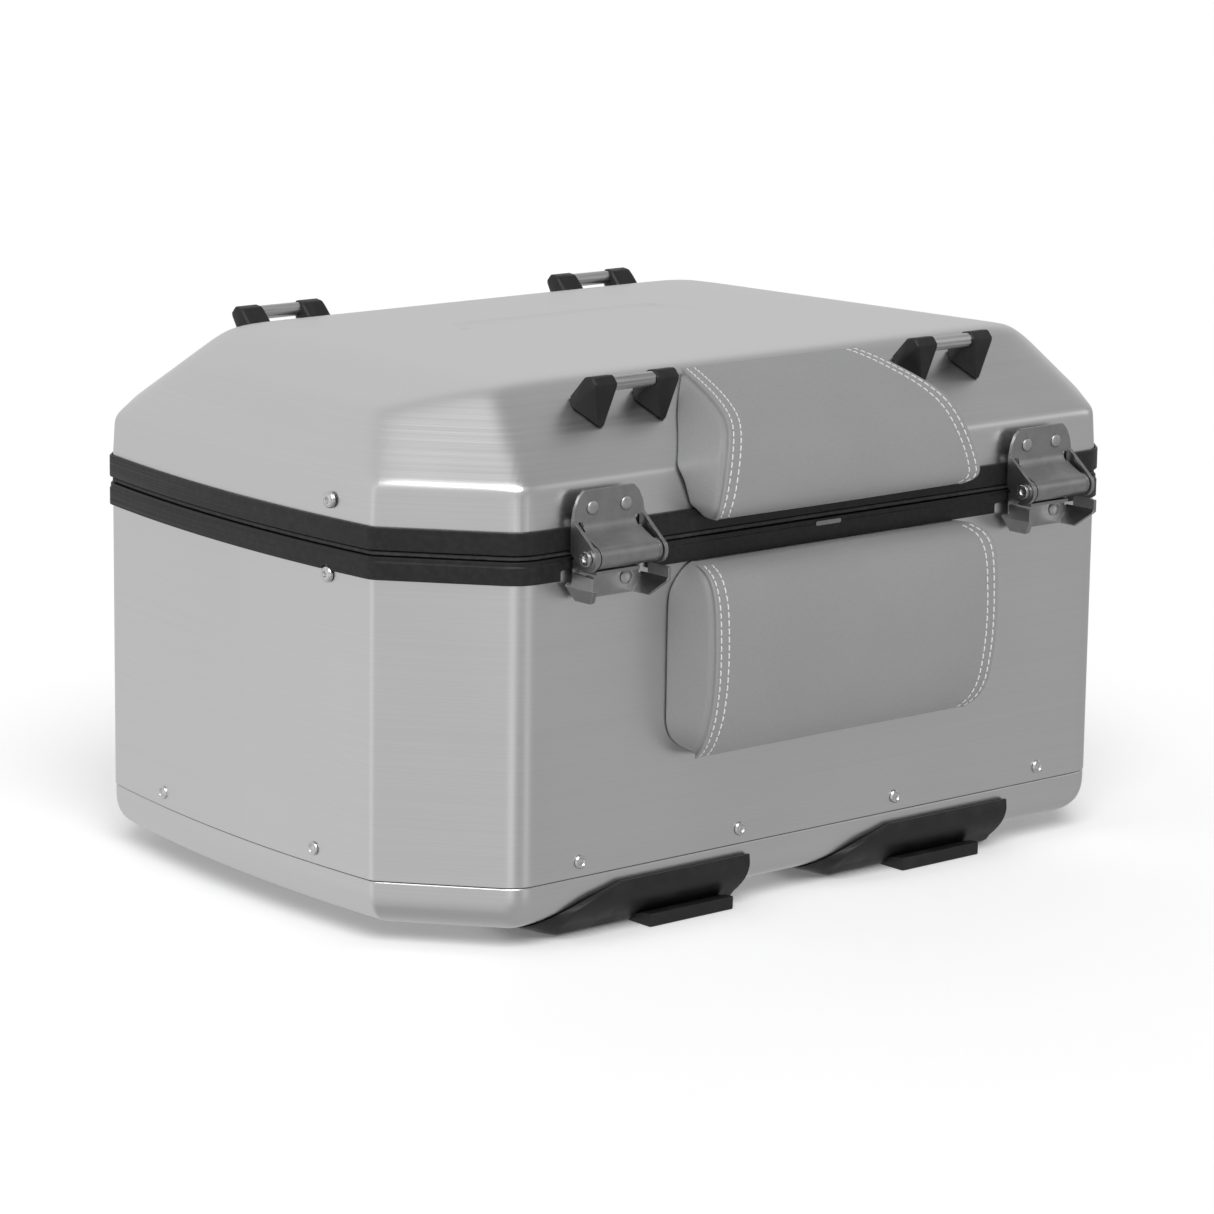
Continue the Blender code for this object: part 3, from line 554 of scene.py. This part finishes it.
# Sections of a foot as (y, z, reach of its toe), downwards
FOOT_INNER = [(-190.0, 31.0, 0.0), (-189.2, 24.0, 24.0), (-186.4, 18.6, 38.0), (-182.0, 14.0, 48.0),
              (-175.4, 10.5, 56.0), (-166.0, 8.7, 58.0), (-135.0, 8.7, 50.0), (-118.0, 8.7, 40.0)]
FOOT_OUTER = [(-193.4, 31.4, 0.0), (-193.8, 24.5, 21.0), (-191.2, 17.8, 32.0), (-187.0, 12.4, 36.0),
              (-180.5, 6.5, 36.0), (-171.0, 0.1, 32.0), (-135.0, 0.1, 28.0), (-118.0, 4.0, 32.0)]
FOOT_POINTS = 26


def foot(name, x, rear):
    """Moulded shoe with a rounded rim, a swept toe and a hook under it."""
    inner, outer = respaced(FOOT_INNER, FOOT_POINTS), respaced(FOOT_OUTER, FOOT_POINTS)
    middle = (inner + outer) / 2

    def ring(reach, swell):
        toe = max(0.0, -reach)
        section = [*(middle + (inner - middle) * swell), *(middle + (outer - middle) * swell)[::-1]]
        return [(reach * FOOT_LIP_HALF - toe * flare, y, z) for y, z, flare in section]
    rim = ((0.0, 0.35), (0.003, 0.7), (0.008, 0.9), (0.016, 1.0))
    reaches = [(-1.0 + d, w) for d, w in rim] + [(-0.7, 1.0), (-0.3, 1.0), (0.3, 1.0)]
    reaches += [(1.0 - d, w) for d, w in rim[::-1]]
    rings = [ring(*r) for r in reaches]
    shoe = loft(rings, capped=False)
    shoe.verts.ensure_lookup_table()
    count = 2 * FOOT_POINTS
    for first in (0, len(rings) - 1):
        ends = shoe.verts[first * count:(first + 1) * count]
        for k in range(FOOT_POINTS - 1):
            shoe.faces.new((ends[k], ends[k + 1], ends[-2 - k], ends[-1 - k]))
    left, right = (near - FOOT_X for near in HOOK_SPAN)
    if x < 0:
        left, right = -right, -left
    profile = rounded([(-192.8, 0.1), (-192.9, 8.0), (-186.0, 7.6), (-182.0, 6.4), (-168.0, 4.0),
                       (-168.0, 0.1)], 1.0)
    hook = loft([[(a, y * share + (1 - share) * -182.0, z * share + (1 - share) * 4.0)
                  for y, z in profile]
                 for a, share in ((left, 0.93), (left + 0.3, 0.98), (left + 0.9, 1.0),
                                  (right - 0.9, 1.0), (right - 0.3, 0.98), (right, 0.93))])
    for bm in (shoe, hook):
        for vert in bm.verts:
            if rear:
                vert.co.x, vert.co.y = -vert.co.x, FRONT_Y + REAR_Y - vert.co.y
            vert.co.x += x
    piece(f"{name}_shoe", shoe, [PLASTIC], "case", [name], 50.0)
    piece(f"{name}_hook", hook, [PLASTIC], "case", [name], 50.0)


# --- Lid ------------------------------------------------------------------

LID_MIDDLE_Y = 5.0
STEP_X = (-125.0, 132.0)     # ends of the step pressed across the top
STEP_Y = (0.0, 60.0)         # where it begins in front, and its sharp rear edge
STEP_DEPTH = 0.9
STEP_FADE = 45.0             # length of its soft ends and of its soft front
STEP_EDGE = 9.0              # width of its sharp rear edge
STEP_ROWS = (9.0, 7.0, 5.0, 3.5, 2.0, 1.0, 0.4, 0.0)   # mesh rows in front of that edge

# Softness of the lid's edges, in the order in which its faces are joined
CORNER_SOFT = 2.9
SIDE_SOFT = 0.6
SLOPE_SOFT = 2.2
CHAMFER_SOFT = 1.6
CREST_SOFT = 2.4
RIM_SOFT = 1.8
CREASE_SOFT = 1.0


def soft_max(values, softness):
    """Smooth maximum: the faces of a solid meet in rounded edges."""
    values = np.stack(values) / softness
    top = values.max(axis=0)
    return softness * (top + np.log(np.exp(values - top).sum(axis=0)))


def plane(a, b, c):
    """Signed distance from the plane through three points, positive above or outside."""
    a, b, c = (np.array(p, float) for p in (a, b, c))
    normal = np.cross(b - a, c - a)
    normal /= np.linalg.norm(normal)
    if normal @ (a - np.array((0.0, 0.0, 200.0))) < 0:
        normal = -normal
    return lambda p: p @ normal - normal @ a


def lid_distance(points):
    """How far points lie outside the lid's rounded outer surface."""
    x, y, z = np.abs(points[:, 0]), points[:, 1], points[:, 2]
    p = np.stack([x, y, z], axis=1)
    front, front_side = (FRONT_HALF, FRONT_Y, CREASE_Z), (*FRONT_SHOULDER, CREASE_Z)
    rear, rear_side = (REAR_HALF, REAR_Y, CREASE_Z), (*REAR_SHOULDER, CREASE_Z)
    flat_front, flat_rear = (*FLAT_FRONT, TOP_Z), (*FLAT_REAR, TOP_Z)
    lean = LID_DRAFT * np.maximum(z - LID_BAND[1], 0.0)
    front_wall = soft_max([FRONT_Y - y, plane(front, front_side, (*FRONT_SHOULDER, 0.0))(p)],
                          CORNER_SOFT)
    rear_wall = soft_max([y - REAR_Y, plane(rear, rear_side, (*REAR_SHOULDER, 0.0))(p)],
                         CORNER_SOFT)
    walls = soft_max([front_wall, rear_wall, (x - side_x(y)) * 0.997], SIDE_SOFT) + lean
    t = (y - SHOULDER_FRONT[1]) / (SHOULDER_REAR[1] - SHOULDER_FRONT[1])
    shoulder = SHOULDER_FRONT[0] + (SHOULDER_REAR[0] - SHOULDER_FRONT[0]) * t
    shoulder += 4 * SIDE_BOW * t * (1 - t) * 0.6
    drop, run = SHOULDER_Z - CREASE_Z, side_x(y) - shoulder
    chamfer = ((x - side_x(y)) * drop + (z - CREASE_Z) * run) / np.hypot(drop, run)
    front_slope = soft_max([plane((0, FRONT_Y, CREASE_Z), front, (0, FLAT_FRONT[1], TOP_Z))(p),
                            plane(front, front_side, flat_front)(p)], SLOPE_SOFT)
    rear_slope = soft_max([plane((0, REAR_Y, CREASE_Z), rear, (0, FLAT_REAR[1], TOP_Z))(p),
                           plane(rear, rear_side, flat_rear)(p)], SLOPE_SOFT)
    slopes = soft_max([front_slope, rear_slope, chamfer], CHAMFER_SOFT)
    top = soft_max([plane(flat_front, flat_rear, SIDE_CREST)(p), z - TOP_Z], CREST_SOFT)
    return soft_max([walls, soft_max([slopes, top], RIM_SOFT)], CREASE_SOFT)


def on_lid(origins, away):
    """Where rays from inside the lid reach its outer surface."""
    near, far = np.zeros(len(away)), np.full(len(away), 400.0)
    for _ in range(34):
        reach = (near + far) / 2
        outside = lid_distance(origins + away * reach[:, None]) > 0
        near, far = np.where(outside, near, reach), np.where(outside, reach, far)
    return origins + away * near[:, None]


def lid_rings():
    """Rings of points on the lid, from its lower edge to the rim of its top."""
    angles = list(np.linspace(-pi, pi, 520, endpoint=False))
    angles += [atan2(y - LID_MIDDLE_Y, x) for x, y in outline(0.0)]
    angles = np.array(sorted(angles))
    angles = angles[np.append(np.diff(angles) > 0.0008, True)]
    flat = np.stack([np.cos(angles), np.sin(angles), np.zeros(len(angles))], axis=1)
    starts = [(z, 0.0) for z in (LID_BOTTOM, 236.0, 244.0, 251.0, 256.0, 258.5, 260.0, 261.2, 262.2)]
    rises = [0.0, 0.2, 0.4, 0.65, 0.95, 1.3, 1.8] + [1.8 + 0.45 * k for k in range(1, 60)]
    starts += [(CREASE_Z, radians(rise)) for rise in rises]
    rings = []
    for z, rise in starts:
        away = flat * cos(rise) + (0.0, 0.0, sin(rise))
        rings.append(on_lid(np.array((0.0, LID_MIDDLE_Y, z)), away))
    return rings


def step_depth(x, y):
    """Depth of the shallow step pressed across the lid's top, sharp at its rear edge."""
    (left, right), (front, rear) = STEP_X, STEP_Y
    ends = np.clip(np.minimum(x - left, right - x) / STEP_FADE, 0.0, 1.0)
    steep = np.clip((rear - y) / STEP_EDGE, 0.0, 1.0)
    back = np.clip((y - front) / STEP_FADE, 0.0, 1.0)
    soft = ends * ends * (3 - 2 * ends) * back * back * (3 - 2 * back)
    return STEP_DEPTH * soft * steep * (2 - steep)


def lid_top(bm, rim):
    """Triangulates the top inside its rim, with close rows along the pressed step."""
    outer = [Vector(v.co.xy) for v in rim]
    rows = [*np.linspace(-110.0, 120.0, 24), *(STEP_Y[1] - d for d in STEP_ROWS)]
    rim_x, rim_y = [[v[k] * 0.97 for v in outer] for k in (0, 1)]
    inner = []
    for y in sorted(rows):
        span = [x for x, near in zip(rim_x, rim_y) if abs(near - y) < 8.0]
        if span:
            inner += [Vector((x, y)) for x in np.arange(min(span) + 4.0, max(span) - 4.0, 6.0)]
    count = len(outer)
    loop = [(i, (i + 1) % count) for i in range(count)]
    places, _, faces, origins, _, _ = delaunay_2d_cdt(outer + inner, loop, [], 1, 1e-6)
    flat = np.array([(p.x, p.y, CREASE_Z) for p in places])
    tops = on_lid(flat, np.tile((0.0, 0.0, 1.0), (len(flat), 1)))
    tops[:, 2] -= step_depth(tops[:, 0], tops[:, 1])
    verts = []
    for source, spot in zip(origins, tops):
        old = [i for i in source if i < count]
        verts.append(rim[old[0]] if old else bm.verts.new(spot))
    for face in faces:
        bm.faces.new([verts[i] for i in face])


def lid():
    """Pressed lid with the thickness of its sheet, and its black band."""
    rings = lid_rings()
    bm = loft([[tuple(p) for p in ring] for ring in rings], capped=False)
    bm.verts.ensure_lookup_table()
    lid_top(bm, bm.verts[-len(rings[0]):])
    shell = piece("lid_shell_pressing", bm, [ALUMINIUM], "lid", ["lid_shell"],
                  60.0)
    sheet = shell.modifiers.new("Sheet", "SOLIDIFY")
    sheet.thickness = SHEET * MM
    sheet.offset = -1.0
    low, high = LID_BAND
    slot = LID_BOTTOM - GAP
    band = rounded([(GAP, high), (BAND_PROUD, high), (BAND_PROUD, low), (-6.0, low),
                    (-6.0, high - 4.0), (-SHEET - LID_SLACK, high - 4.0),
                    (-SHEET - LID_SLACK, slot), (GAP, slot)], 0.9)
    piece("lid_frame_extrusion", wall_ring(band), [ANODISED], "lid", ["lid_frame"])


# --- Fasteners, hinges, loops and lock ------------------------------------

# (radius, height) pairs of each head, from the sheet to the middle
BLIND_RIVET = [(4.0, 0.0), (4.0, 0.4), (3.8, 0.9), (3.3, 1.25), (2.75, 1.2), (2.4, 0.75),
               (2.1, 0.5), (1.4, 0.45), (1.2, 0.6), (0.5, 0.65)]
SOLID_RIVET = [(4.0, 0.0), (4.0, 0.35), (3.6, 0.8), (2.8, 1.1), (1.6, 1.25), (0.5, 1.3)]
BUTTON_SCREW = [(4.8, 0.0), (4.8, 0.6), (4.4, 1.5), (3.6, 2.2), (2.7, 2.6), (2.2, 2.62),
                (1.75, 2.45), (1.7, 1.0), (0.4, 0.9)]
SOCKET = (6, 7)              # rings of the button screw that are six-sided


def fasteners():
    """Blind rivets round the pan, and a screw in each side of both bands."""
    for i, x in enumerate(FRONT_RIVETS, start=1):
        piece(f"tub_rivet_front_{i}_head", lathe(BLIND_RIVET, "Y", (x, FRONT_Y - GAP, RIVET_Z), -1),
              [BRIGHT], "case", [f"tub_rivet_front_{i}"])
    for i, x in enumerate(REAR_RIVETS, start=1):
        piece(f"tub_rivet_rear_{i}_head", lathe(BLIND_RIVET, "Y", (x, REAR_Y, RIVET_Z), 1),
              [BRIGHT], "case", ())
    for out, side in ((-1, "left"), (1, "right")):
        for i, y in enumerate(SIDE_RIVETS, start=1):
            at = (out * (side_x(y) + 0.3), y, RIVET_Z)
            piece(f"tub_rivet_{side}_{i}_head", lathe(BLIND_RIVET, "X", at, out), [BRIGHT], "case",
                  [f"tub_rivet_{side}_{i}"])
        for (y, z), name, body in ((SCREW_TUB, "tub", "case"), (SCREW_LID, "lid", "lid")):
            at = (out * (side_x(y) + 0.4), y, z)
            piece(f"{name}_screw_{side}_head", lathe(BUTTON_SCREW, "X", at, out, SOCKET),
                  [BRIGHT], body, [f"{name}_screw_{side}"])


def hinges():
    """Two hinges: bevelled leaves, spacer and pin, and a fresh head on each rivet."""
    for out, side in ((-1, "left"), (1, "right")):
        at = out * HINGE_X
        refine(f"hinge_upper_leaf_{side}", [STEEL, EDGE_HIGHLIGHT], "lid", 0.35, 2)
        refine(f"hinge_lower_leaf_{side}", [STEEL, EDGE_HIGHLIGHT], "case", 0.35, 2)
        refine(f"hinge_packer_{side}", [PLASTIC], "lid", 0.5, 2)
        refine(f"hinge_pin_{side}", [BRIGHT], "case", 0.4, 2)
        for i, dx in enumerate((-LEAF_RIVET_X, LEAF_RIVET_X), start=1):
            upper = lathe(SOLID_RIVET, "Y", (at + dx, FRONT_Y - 7.2, 250.6), -1)
            piece(f"hinge_rivet_upper_{side}_{i}_head", upper, [RIVET], "lid",
                  [f"hinge_rivet_upper_{side}_{i}"])
            dx *= LEAF_RIVET_SPREAD
            lower = lathe(SOLID_RIVET, "Y", (at + dx, FRONT_Y - 5.8, 208.4), -1)
            piece(f"hinge_rivet_lower_{side}_{i}_head", lower, [RIVET], "case",
                  [f"hinge_rivet_lower_{side}_{i}"])


def loops():
    """Four tie-down loops: two moulded blocks and a steel rod each."""
    for place in ("front", "rear"):
        for side in ("left", "right"):
            name = f"{place}_{side}_loop"
            refine(f"{name}_outer_block", [PLASTIC], "lid", 0.8, 3)
            refine(f"{name}_inner_block", [PLASTIC], "lid", 0.8, 3)
            refine(f"{name}_rod", [ROD], "lid", 0.3, 2)


def lock():
    """Housing, pull lever, strike plate and key barrel."""
    refine("lock_housing", [PLASTIC], "case", 0.8, 3)
    refine("latch_lever", [PLASTIC], "latch", 0.8, 3)
    refine("lid_strike", [STEEL, EDGE_HIGHLIGHT], "lid", 0.4, 2)
    refine("lock_cylinder", [STEEL, EDGE_HIGHLIGHT], "key", 0.35, 2)


# --- Backrest pads --------------------------------------------------------

# (y, z, half width) of each pad's main panel and of its edge on the case,
# downwards; the sewn ends lie between the two
LOWER_FACE = [(-202.0, 209.6, 109.5), (-213.0, 205.6, 112.0), (-219.0, 197.5, 113.0),
              (-221.5, 184.0, 113.0), (-222.4, 160.0, 113.0), (-221.4, 140.0, 113.0),
              (-219.2, 126.5, 113.0), (-216.0, 115.0, 113.0), (-210.0, 105.0, 112.0),
              (-201.0, 97.5, 109.5)]
LOWER_EDGE = [(-190.6, 209.8, 106.0), (-190.6, 206.0, 112.0), (-190.6, 199.0, 118.5),
              (-190.6, 190.0, 122.0), (-190.6, 160.0, 122.5), (-190.6, 140.0, 122.5),
              (-190.6, 127.5, 122.5), (-190.6, 116.0, 122.0), (-190.6, 106.0, 115.5),
              (-190.6, 97.0, 98.0)]
UPPER_FACE = [(-140.0, 311.2, 70.0), (-157.0, 307.0, 74.5), (-172.0, 302.0, 78.0),
              (-183.0, 297.8, 81.0), (-194.0, 292.4, 84.5), (-202.4, 285.6, 88.5),
              (-208.4, 274.0, 94.0), (-212.2, 259.0, 99.5), (-213.5, 246.5, 103.5),
              (-211.5, 239.5, 104.0), (-204.0, 235.0, 99.0)]
UPPER_EDGE = [(-141.0, 308.0, 69.0), (-147.5, 302.4, 77.0), (-160.0, 291.2, 90.0),
              (-172.0, 280.5, 100.0), (-182.0, 271.6, 109.0), (-188.8, 265.4, 115.0),
              (-190.8, 258.0, 112.0), (-190.8, 250.0, 109.0), (-190.8, 243.2, 106.5),
              (-192.7, 241.5, 105.0), (-192.7, 234.8, 97.0)]
PAD_ROWS = 36                # mesh rows down a pad's main panel
END_SHARES = (0.0, 0.05, 0.1, 0.17, 0.28, 0.42, 0.58, 0.75, 0.9, 1.0)   # from seam to case
# Mesh columns beside each seam, by distance from it, and across the middle
SEAM_COLUMNS = (0.0, 1.0, 2.0, 2.9, 3.6, 4.3, 5.4, 7.0, 8.6, 9.4, 10.2, 11.8, 15.0)
MIDDLE_COLUMNS = 30
STITCH_INSETS = (3.6, 9.4)   # the two rows of stitches inside each seam
PAD_PRESSURE = 4.0
PAD_CAP = 4.5                # furthest that the air pressure may move a point
CLOTH_STEPS = 20
AWAY = 100.0                 # seam distance of points that lie far from a seam
STITCH_PITCH = 4.7
STITCH_LENGTH = 3.8
THREAD_R = 0.45
THREAD_SIDES = 8
# (share of its length, height over the pad, thickness) along one stitch
STITCH_SHAPE = ((0.0, -0.4, 0.6), (0.12, 0.25, 0.95), (0.35, 0.5, 1.0),
                (0.65, 0.5, 1.0), (0.88, 0.25, 0.95), (1.0, -0.4, 0.6))


def vectors(mesh, kind):
    """One vector per vertex: its co or its normal."""
    made = np.empty(len(mesh.vertices) * 3, np.float32)
    mesh.vertices.foreach_get(kind, made)
    return made.reshape(-1, 3).astype(float)


def place_points(mesh, points):
    """Moves a mesh's vertices to points."""
    mesh.vertices.foreach_set("co", points.astype(np.float32).ravel())
    mesh.update()


def pad_mesh(face, edge):
    """Closed pad: main panel, back and two ends, all one grid, with seam distances."""
    inner = END_SHARES[1:-1]
    bottom = [face[-1] * (1 - t) + edge[-1] * t for t in inner]
    top = [edge[0] * t + face[0] * (1 - t) for t in inner[::-1]]
    section = np.array([*face, *bottom, *edge[::-1], *top])
    rows, depth = len(face), len(inner)
    columns = [(-1, inset, None) for inset in SEAM_COLUMNS]
    middle = np.linspace(-1.0, 1.0, MIDDLE_COLUMNS + 2)[1:-1]
    columns += [(0, None, share) for share in middle]
    columns += [(1, inset, None) for inset in SEAM_COLUMNS[::-1]]
    bm = bmesh.new()
    seam = bm.verts.layers.float.new("seam")
    rings = []
    for side, inset, share in columns:
        ring = []
        for k, (y, z, half) in enumerate(section):
            x = share * (half - SEAM_COLUMNS[-1]) if side == 0 else side * (half - inset)
            vert = bm.verts.new((x, y, z))
            behind = rows + depth <= k < 2 * rows + depth
            vert[seam] = AWAY if behind or side == 0 else inset
            ring.append(vert)
        rings.append(ring)
    count = len(section)
    for low, high in zip(rings, rings[1:]):
        for i in range(count):
            j = (i + 1) % count
            bm.faces.new((low[i], low[j], high[j], high[i]))
    for ring in (rings[0], rings[-1]):
        grid = []
        for k in range(rows):
            near, far = ring[k], ring[2 * rows + depth - 1 - k]
            if k == 0:
                between = [ring[count - 1 - j] for j in range(depth)]
            elif k == rows - 1:
                between = [ring[rows + j] for j in range(depth)]
            else:
                between = []
                for share in inner:
                    vert = bm.verts.new(near.co.lerp(far.co, share))
                    vert[seam] = -share * (far.co - near.co).length
                    between.append(vert)
            grid.append([near, *between, far])
        for above, below in zip(grid, grid[1:]):
            for i in range(depth + 1):
                bm.faces.new((above[i], above[i + 1], below[i + 1], below[i]))
    bmesh.ops.scale(bm, vec=(MM, MM, MM), verts=bm.verts)
    bmesh.ops.recalc_face_normals(bm, faces=bm.faces)
    return bm


def seam_distances(mesh):
    """Distance of each vertex from its seam, negative on a pad's ends."""
    made = np.empty(len(mesh.vertices), np.float32)
    mesh.attributes["seam"].data.foreach_get("value", made)
    return made.astype(float)


def swell(obj):
    """Cloth run with air pressure, held at the seams and at the back."""
    base = vectors(obj.data, "co")
    held = obj.vertex_groups.new(name="held")
    loose = np.abs(seam_distances(obj.data))
    facing_case = vectors(obj.data, "normal")[:, 1] >= 0.3
    for i in np.flatnonzero((loose < 0.5) | (loose > AWAY - 1) & facing_case):
        held.add([int(i)], 1.0, "REPLACE")
    cloth = obj.modifiers.new("Cloth", "CLOTH")
    cloth.settings.vertex_group_mass = "held"
    cloth.settings.use_pressure = True
    cloth.settings.uniform_pressure_force = PAD_PRESSURE
    cloth.settings.effector_weights.gravity = 0.0
    cloth.point_cache.frame_end = CLOTH_STEPS
    for step in range(1, CLOTH_STEPS + 1):
        bpy.context.scene.frame_set(step)
    graph = bpy.context.evaluated_depsgraph_get()
    moved = vectors(obj.evaluated_get(graph).data, "co") - base
    obj.modifiers.clear()
    bpy.context.scene.frame_set(1)
    length = np.linalg.norm(moved, axis=1, keepdims=True)
    moved *= np.minimum(1.0, PAD_CAP * MM / np.maximum(length, 1e-9))
    place_points(obj.data, base + moved)


def bell(distance, centre, width):
    """Soft bump of height 1 round a centre."""
    return np.exp(-((distance - centre) / width) ** 2)


def pad(name, node_name, body, face, edge):
    """Stuffed pad: a swollen main panel, rolled at its seams, and sunken ends."""
    face, edge = respaced(face, PAD_ROWS), respaced(edge, PAD_ROWS)
    bm = pad_mesh(face, edge)
    mesh = bpy.data.meshes.new(name)
    bm.to_mesh(mesh)
    bm.free()
    mesh.materials.append(LEATHER)
    obj = bpy.data.objects.new(name, mesh)
    bpy.context.scene.collection.objects.link(obj)
    swell(obj)
    finer = obj.modifiers.new("Finer", "SUBSURF")
    finer.levels = 1
    finer.render_levels = 1
    apply_modifiers(obj)
    mesh = obj.data
    seam = seam_distances(mesh)
    # A roll beside the seam, a hollow round the end, and a groove under each row of stitches
    lift = 0.45 * bell(seam, 1.6, 1.1) - 1.3 * bell(seam, -2.2, 1.6)
    lift -= sum(0.3 * bell(seam, inset, 0.6) for inset in STITCH_INSETS)
    place_points(mesh, vectors(mesh, "co") + vectors(mesh, "normal") * lift[:, None] * MM)
    mesh.shade_smooth()
    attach(obj, body)
    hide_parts(node_name)
    stitching(name, obj, body, face)


def stitching(name, pad_obj, body, face):
    """Two rows of thread inside each seam, laid on the pad's surface."""
    tree = BVHTree.FromObject(pad_obj, bpy.context.evaluated_depsgraph_get())
    bm = bmesh.new()
    for side in (-1, 1):
        for inset in STITCH_INSETS:
            row = []
            for y, z, half in face:
                spot = Vector((side * (half - inset), y, z)) * MM
                point, normal, _, _ = tree.find_nearest(spot)
                row.append((point / MM, normal))
            sew(bm, row)
    piece(f"{name}_stitching", bm, [THREAD], body, smooth=60.0)


def sew(bm, row):
    """Separate stitches along a row of (point, normal)."""
    lengths = [0.0]
    for (a, _), (b, _) in zip(row, row[1:]):
        lengths.append(lengths[-1] + (b - a).length)

    def at(distance):
        i = max(0, min(len(row) - 2, int(np.searchsorted(lengths, distance)) - 1))
        t = (distance - lengths[i]) / max(lengths[i + 1] - lengths[i], 1e-9)
        return row[i][0].lerp(row[i + 1][0], t), row[i][1].lerp(row[i + 1][1], t).normalized()
    turns = [2 * pi * k / THREAD_SIDES for k in range(THREAD_SIDES)]
    start = 1.0
    while start + STITCH_LENGTH < lengths[-1]:
        ahead = (at(start + STITCH_LENGTH)[0] - at(start)[0]).normalized()
        rings = []
        for t, lift, thickness in STITCH_SHAPE:
            point, normal = at(start + t * STITCH_LENGTH)
            across = ahead.cross(normal).normalized()
            centre = point + normal * lift * THREAD_R * 1.4
            radius = thickness * THREAD_R
            rings.append([bm.verts.new(centre + (across * cos(a) + normal * sin(a)) * radius)
                          for a in turns])
        for low, high in zip(rings, rings[1:]):
            for k in range(THREAD_SIDES):
                n = (k + 1) % THREAD_SIDES
                bm.faces.new((low[k], low[n], high[n], high[k]))
        bm.faces.new(rings[0])
        bm.faces.new(rings[-1])
        start += STITCH_PITCH


def pads():
    """The backrest below on the tub and the one above on the lid."""
    pad("lower_backrest_pad", "lower_backrest", "case", LOWER_FACE, LOWER_EDGE)
    pad("upper_backrest_pad", "upper_backrest", "lid", UPPER_FACE, UPPER_EDGE)


# --- Studio ---------------------------------------------------------------

def camera():
    """Long lens, a little above the lid, in front of the left corner."""
    azimuth, elevation = radians(CAMERA_AZIMUTH), radians(CAMERA_ELEVATION)
    back = Vector((sin(azimuth) * cos(elevation), -cos(azimuth) * cos(elevation), sin(elevation)))
    data = bpy.data.cameras.new("camera")
    data.lens = CAMERA_LENS
    data.sensor_width = 36.0
    data.clip_end = 100.0
    made = bpy.data.objects.new("camera", data)
    made.rotation_mode = "QUATERNION"
    roll = Quaternion((0.0, 0.0, 1.0), radians(CAMERA_ROLL))
    made.rotation_quaternion = back.to_track_quat("Z", "Y") @ roll
    made.location = Vector(CAMERA_TARGET) + back * CAMERA_DISTANCE
    bpy.context.scene.collection.objects.link(made)
    bpy.context.scene.camera = made


# Soft panels of light in the sky: azimuth from -Y towards +X, elevation,
# radius and softness of the edge in degrees, and strength.
SKY_BASE = 0.40
PANELS = (
    (-165.0, 15.0, 55.0, 45.0, 0.26),
    (-75.0, -8.0, 22.0, 30.0, 0.18),
    (-36.0, -10.0, 4.0, 9.0, 0.55),
    (10.0, -10.0, 3.0, 8.0, 0.50),
    (62.0, 20.0, 6.0, 13.0, 0.50),
    (41.0, -52.0, 16.0, 30.0, 0.03),
    (0.0, 88.0, 20.0, 35.0, -0.12),
)
SUN_STRENGTH = 1.9
SUN_ANGLE = 40.0
SUN_FROM = (-0.37, -0.53, 0.77)
FLOOR_HALF = 40.0
FLOOR_GLOW = 0.12


def studio():
    """White sky with soft panels, a white floor and one wide sun."""
    world = bpy.data.worlds.new("studio")
    bpy.context.scene.world = world
    world.use_nodes = True
    tree = world.node_tree
    ray = node(tree, "TexCoord").outputs["Generated"]
    tree.nodes["Background"].inputs["Color"].default_value = (1.0, 1.0, 1.0, 1.0)
    total = SKY_BASE
    for azimuth, elevation, radius, soft, strength in PANELS:
        a, e = radians(azimuth), radians(elevation)
        centre = (sin(a) * cos(e), -cos(a) * cos(e), sin(e))
        facing = node(tree, "VectorMath", {0: ray, 1: centre}, operation="DOT_PRODUCT").outputs[1]
        glow = ramp(tree, facing, cos(radians(min(180, radius + soft))), cos(radians(radius)),
                    0.0, strength)
        total = maths(tree, "ADD", glow, total)
    tree.links.new(total, tree.nodes["Background"].inputs["Strength"])

    half = FLOOR_HALF
    mesh = bpy.data.meshes.new("floor")
    mesh.from_pydata([(-half, -half, 0), (half, -half, 0), (half, half, 0), (-half, half, 0)],
                     [], [(0, 1, 2, 3)])
    paint = Look("floor_paint", (0.95, 0.95, 0.95), 0.9, 0.0, Emission_Strength=FLOOR_GLOW)
    paint.shader.inputs["Emission Color"].default_value = (1.0, 1.0, 1.0, 1.0)
    paint.tint(paint.ramp(paint.noise((1, 1, 1), 3.0), 0.3, 0.7, 0.99, 1.0))
    mesh.materials.append(paint.mat)
    floor = bpy.data.objects.new("floor", mesh)
    bpy.context.scene.collection.objects.link(floor)
    floor.visible_glossy = False

    light = bpy.data.lights.new("softbox", "SUN")
    light.energy = SUN_STRENGTH
    light.angle = radians(SUN_ANGLE)
    lamp = bpy.data.objects.new("softbox", light)
    lamp.rotation_euler = Vector(SUN_FROM).to_track_quat("Z", "Y").to_euler()
    bpy.context.scene.collection.objects.link(lamp)
    bpy.context.scene.view_settings.view_transform = "Standard"


camera()
studio()
tub()
lid()
fasteners()
hinges()
loops()
lock()
pads()
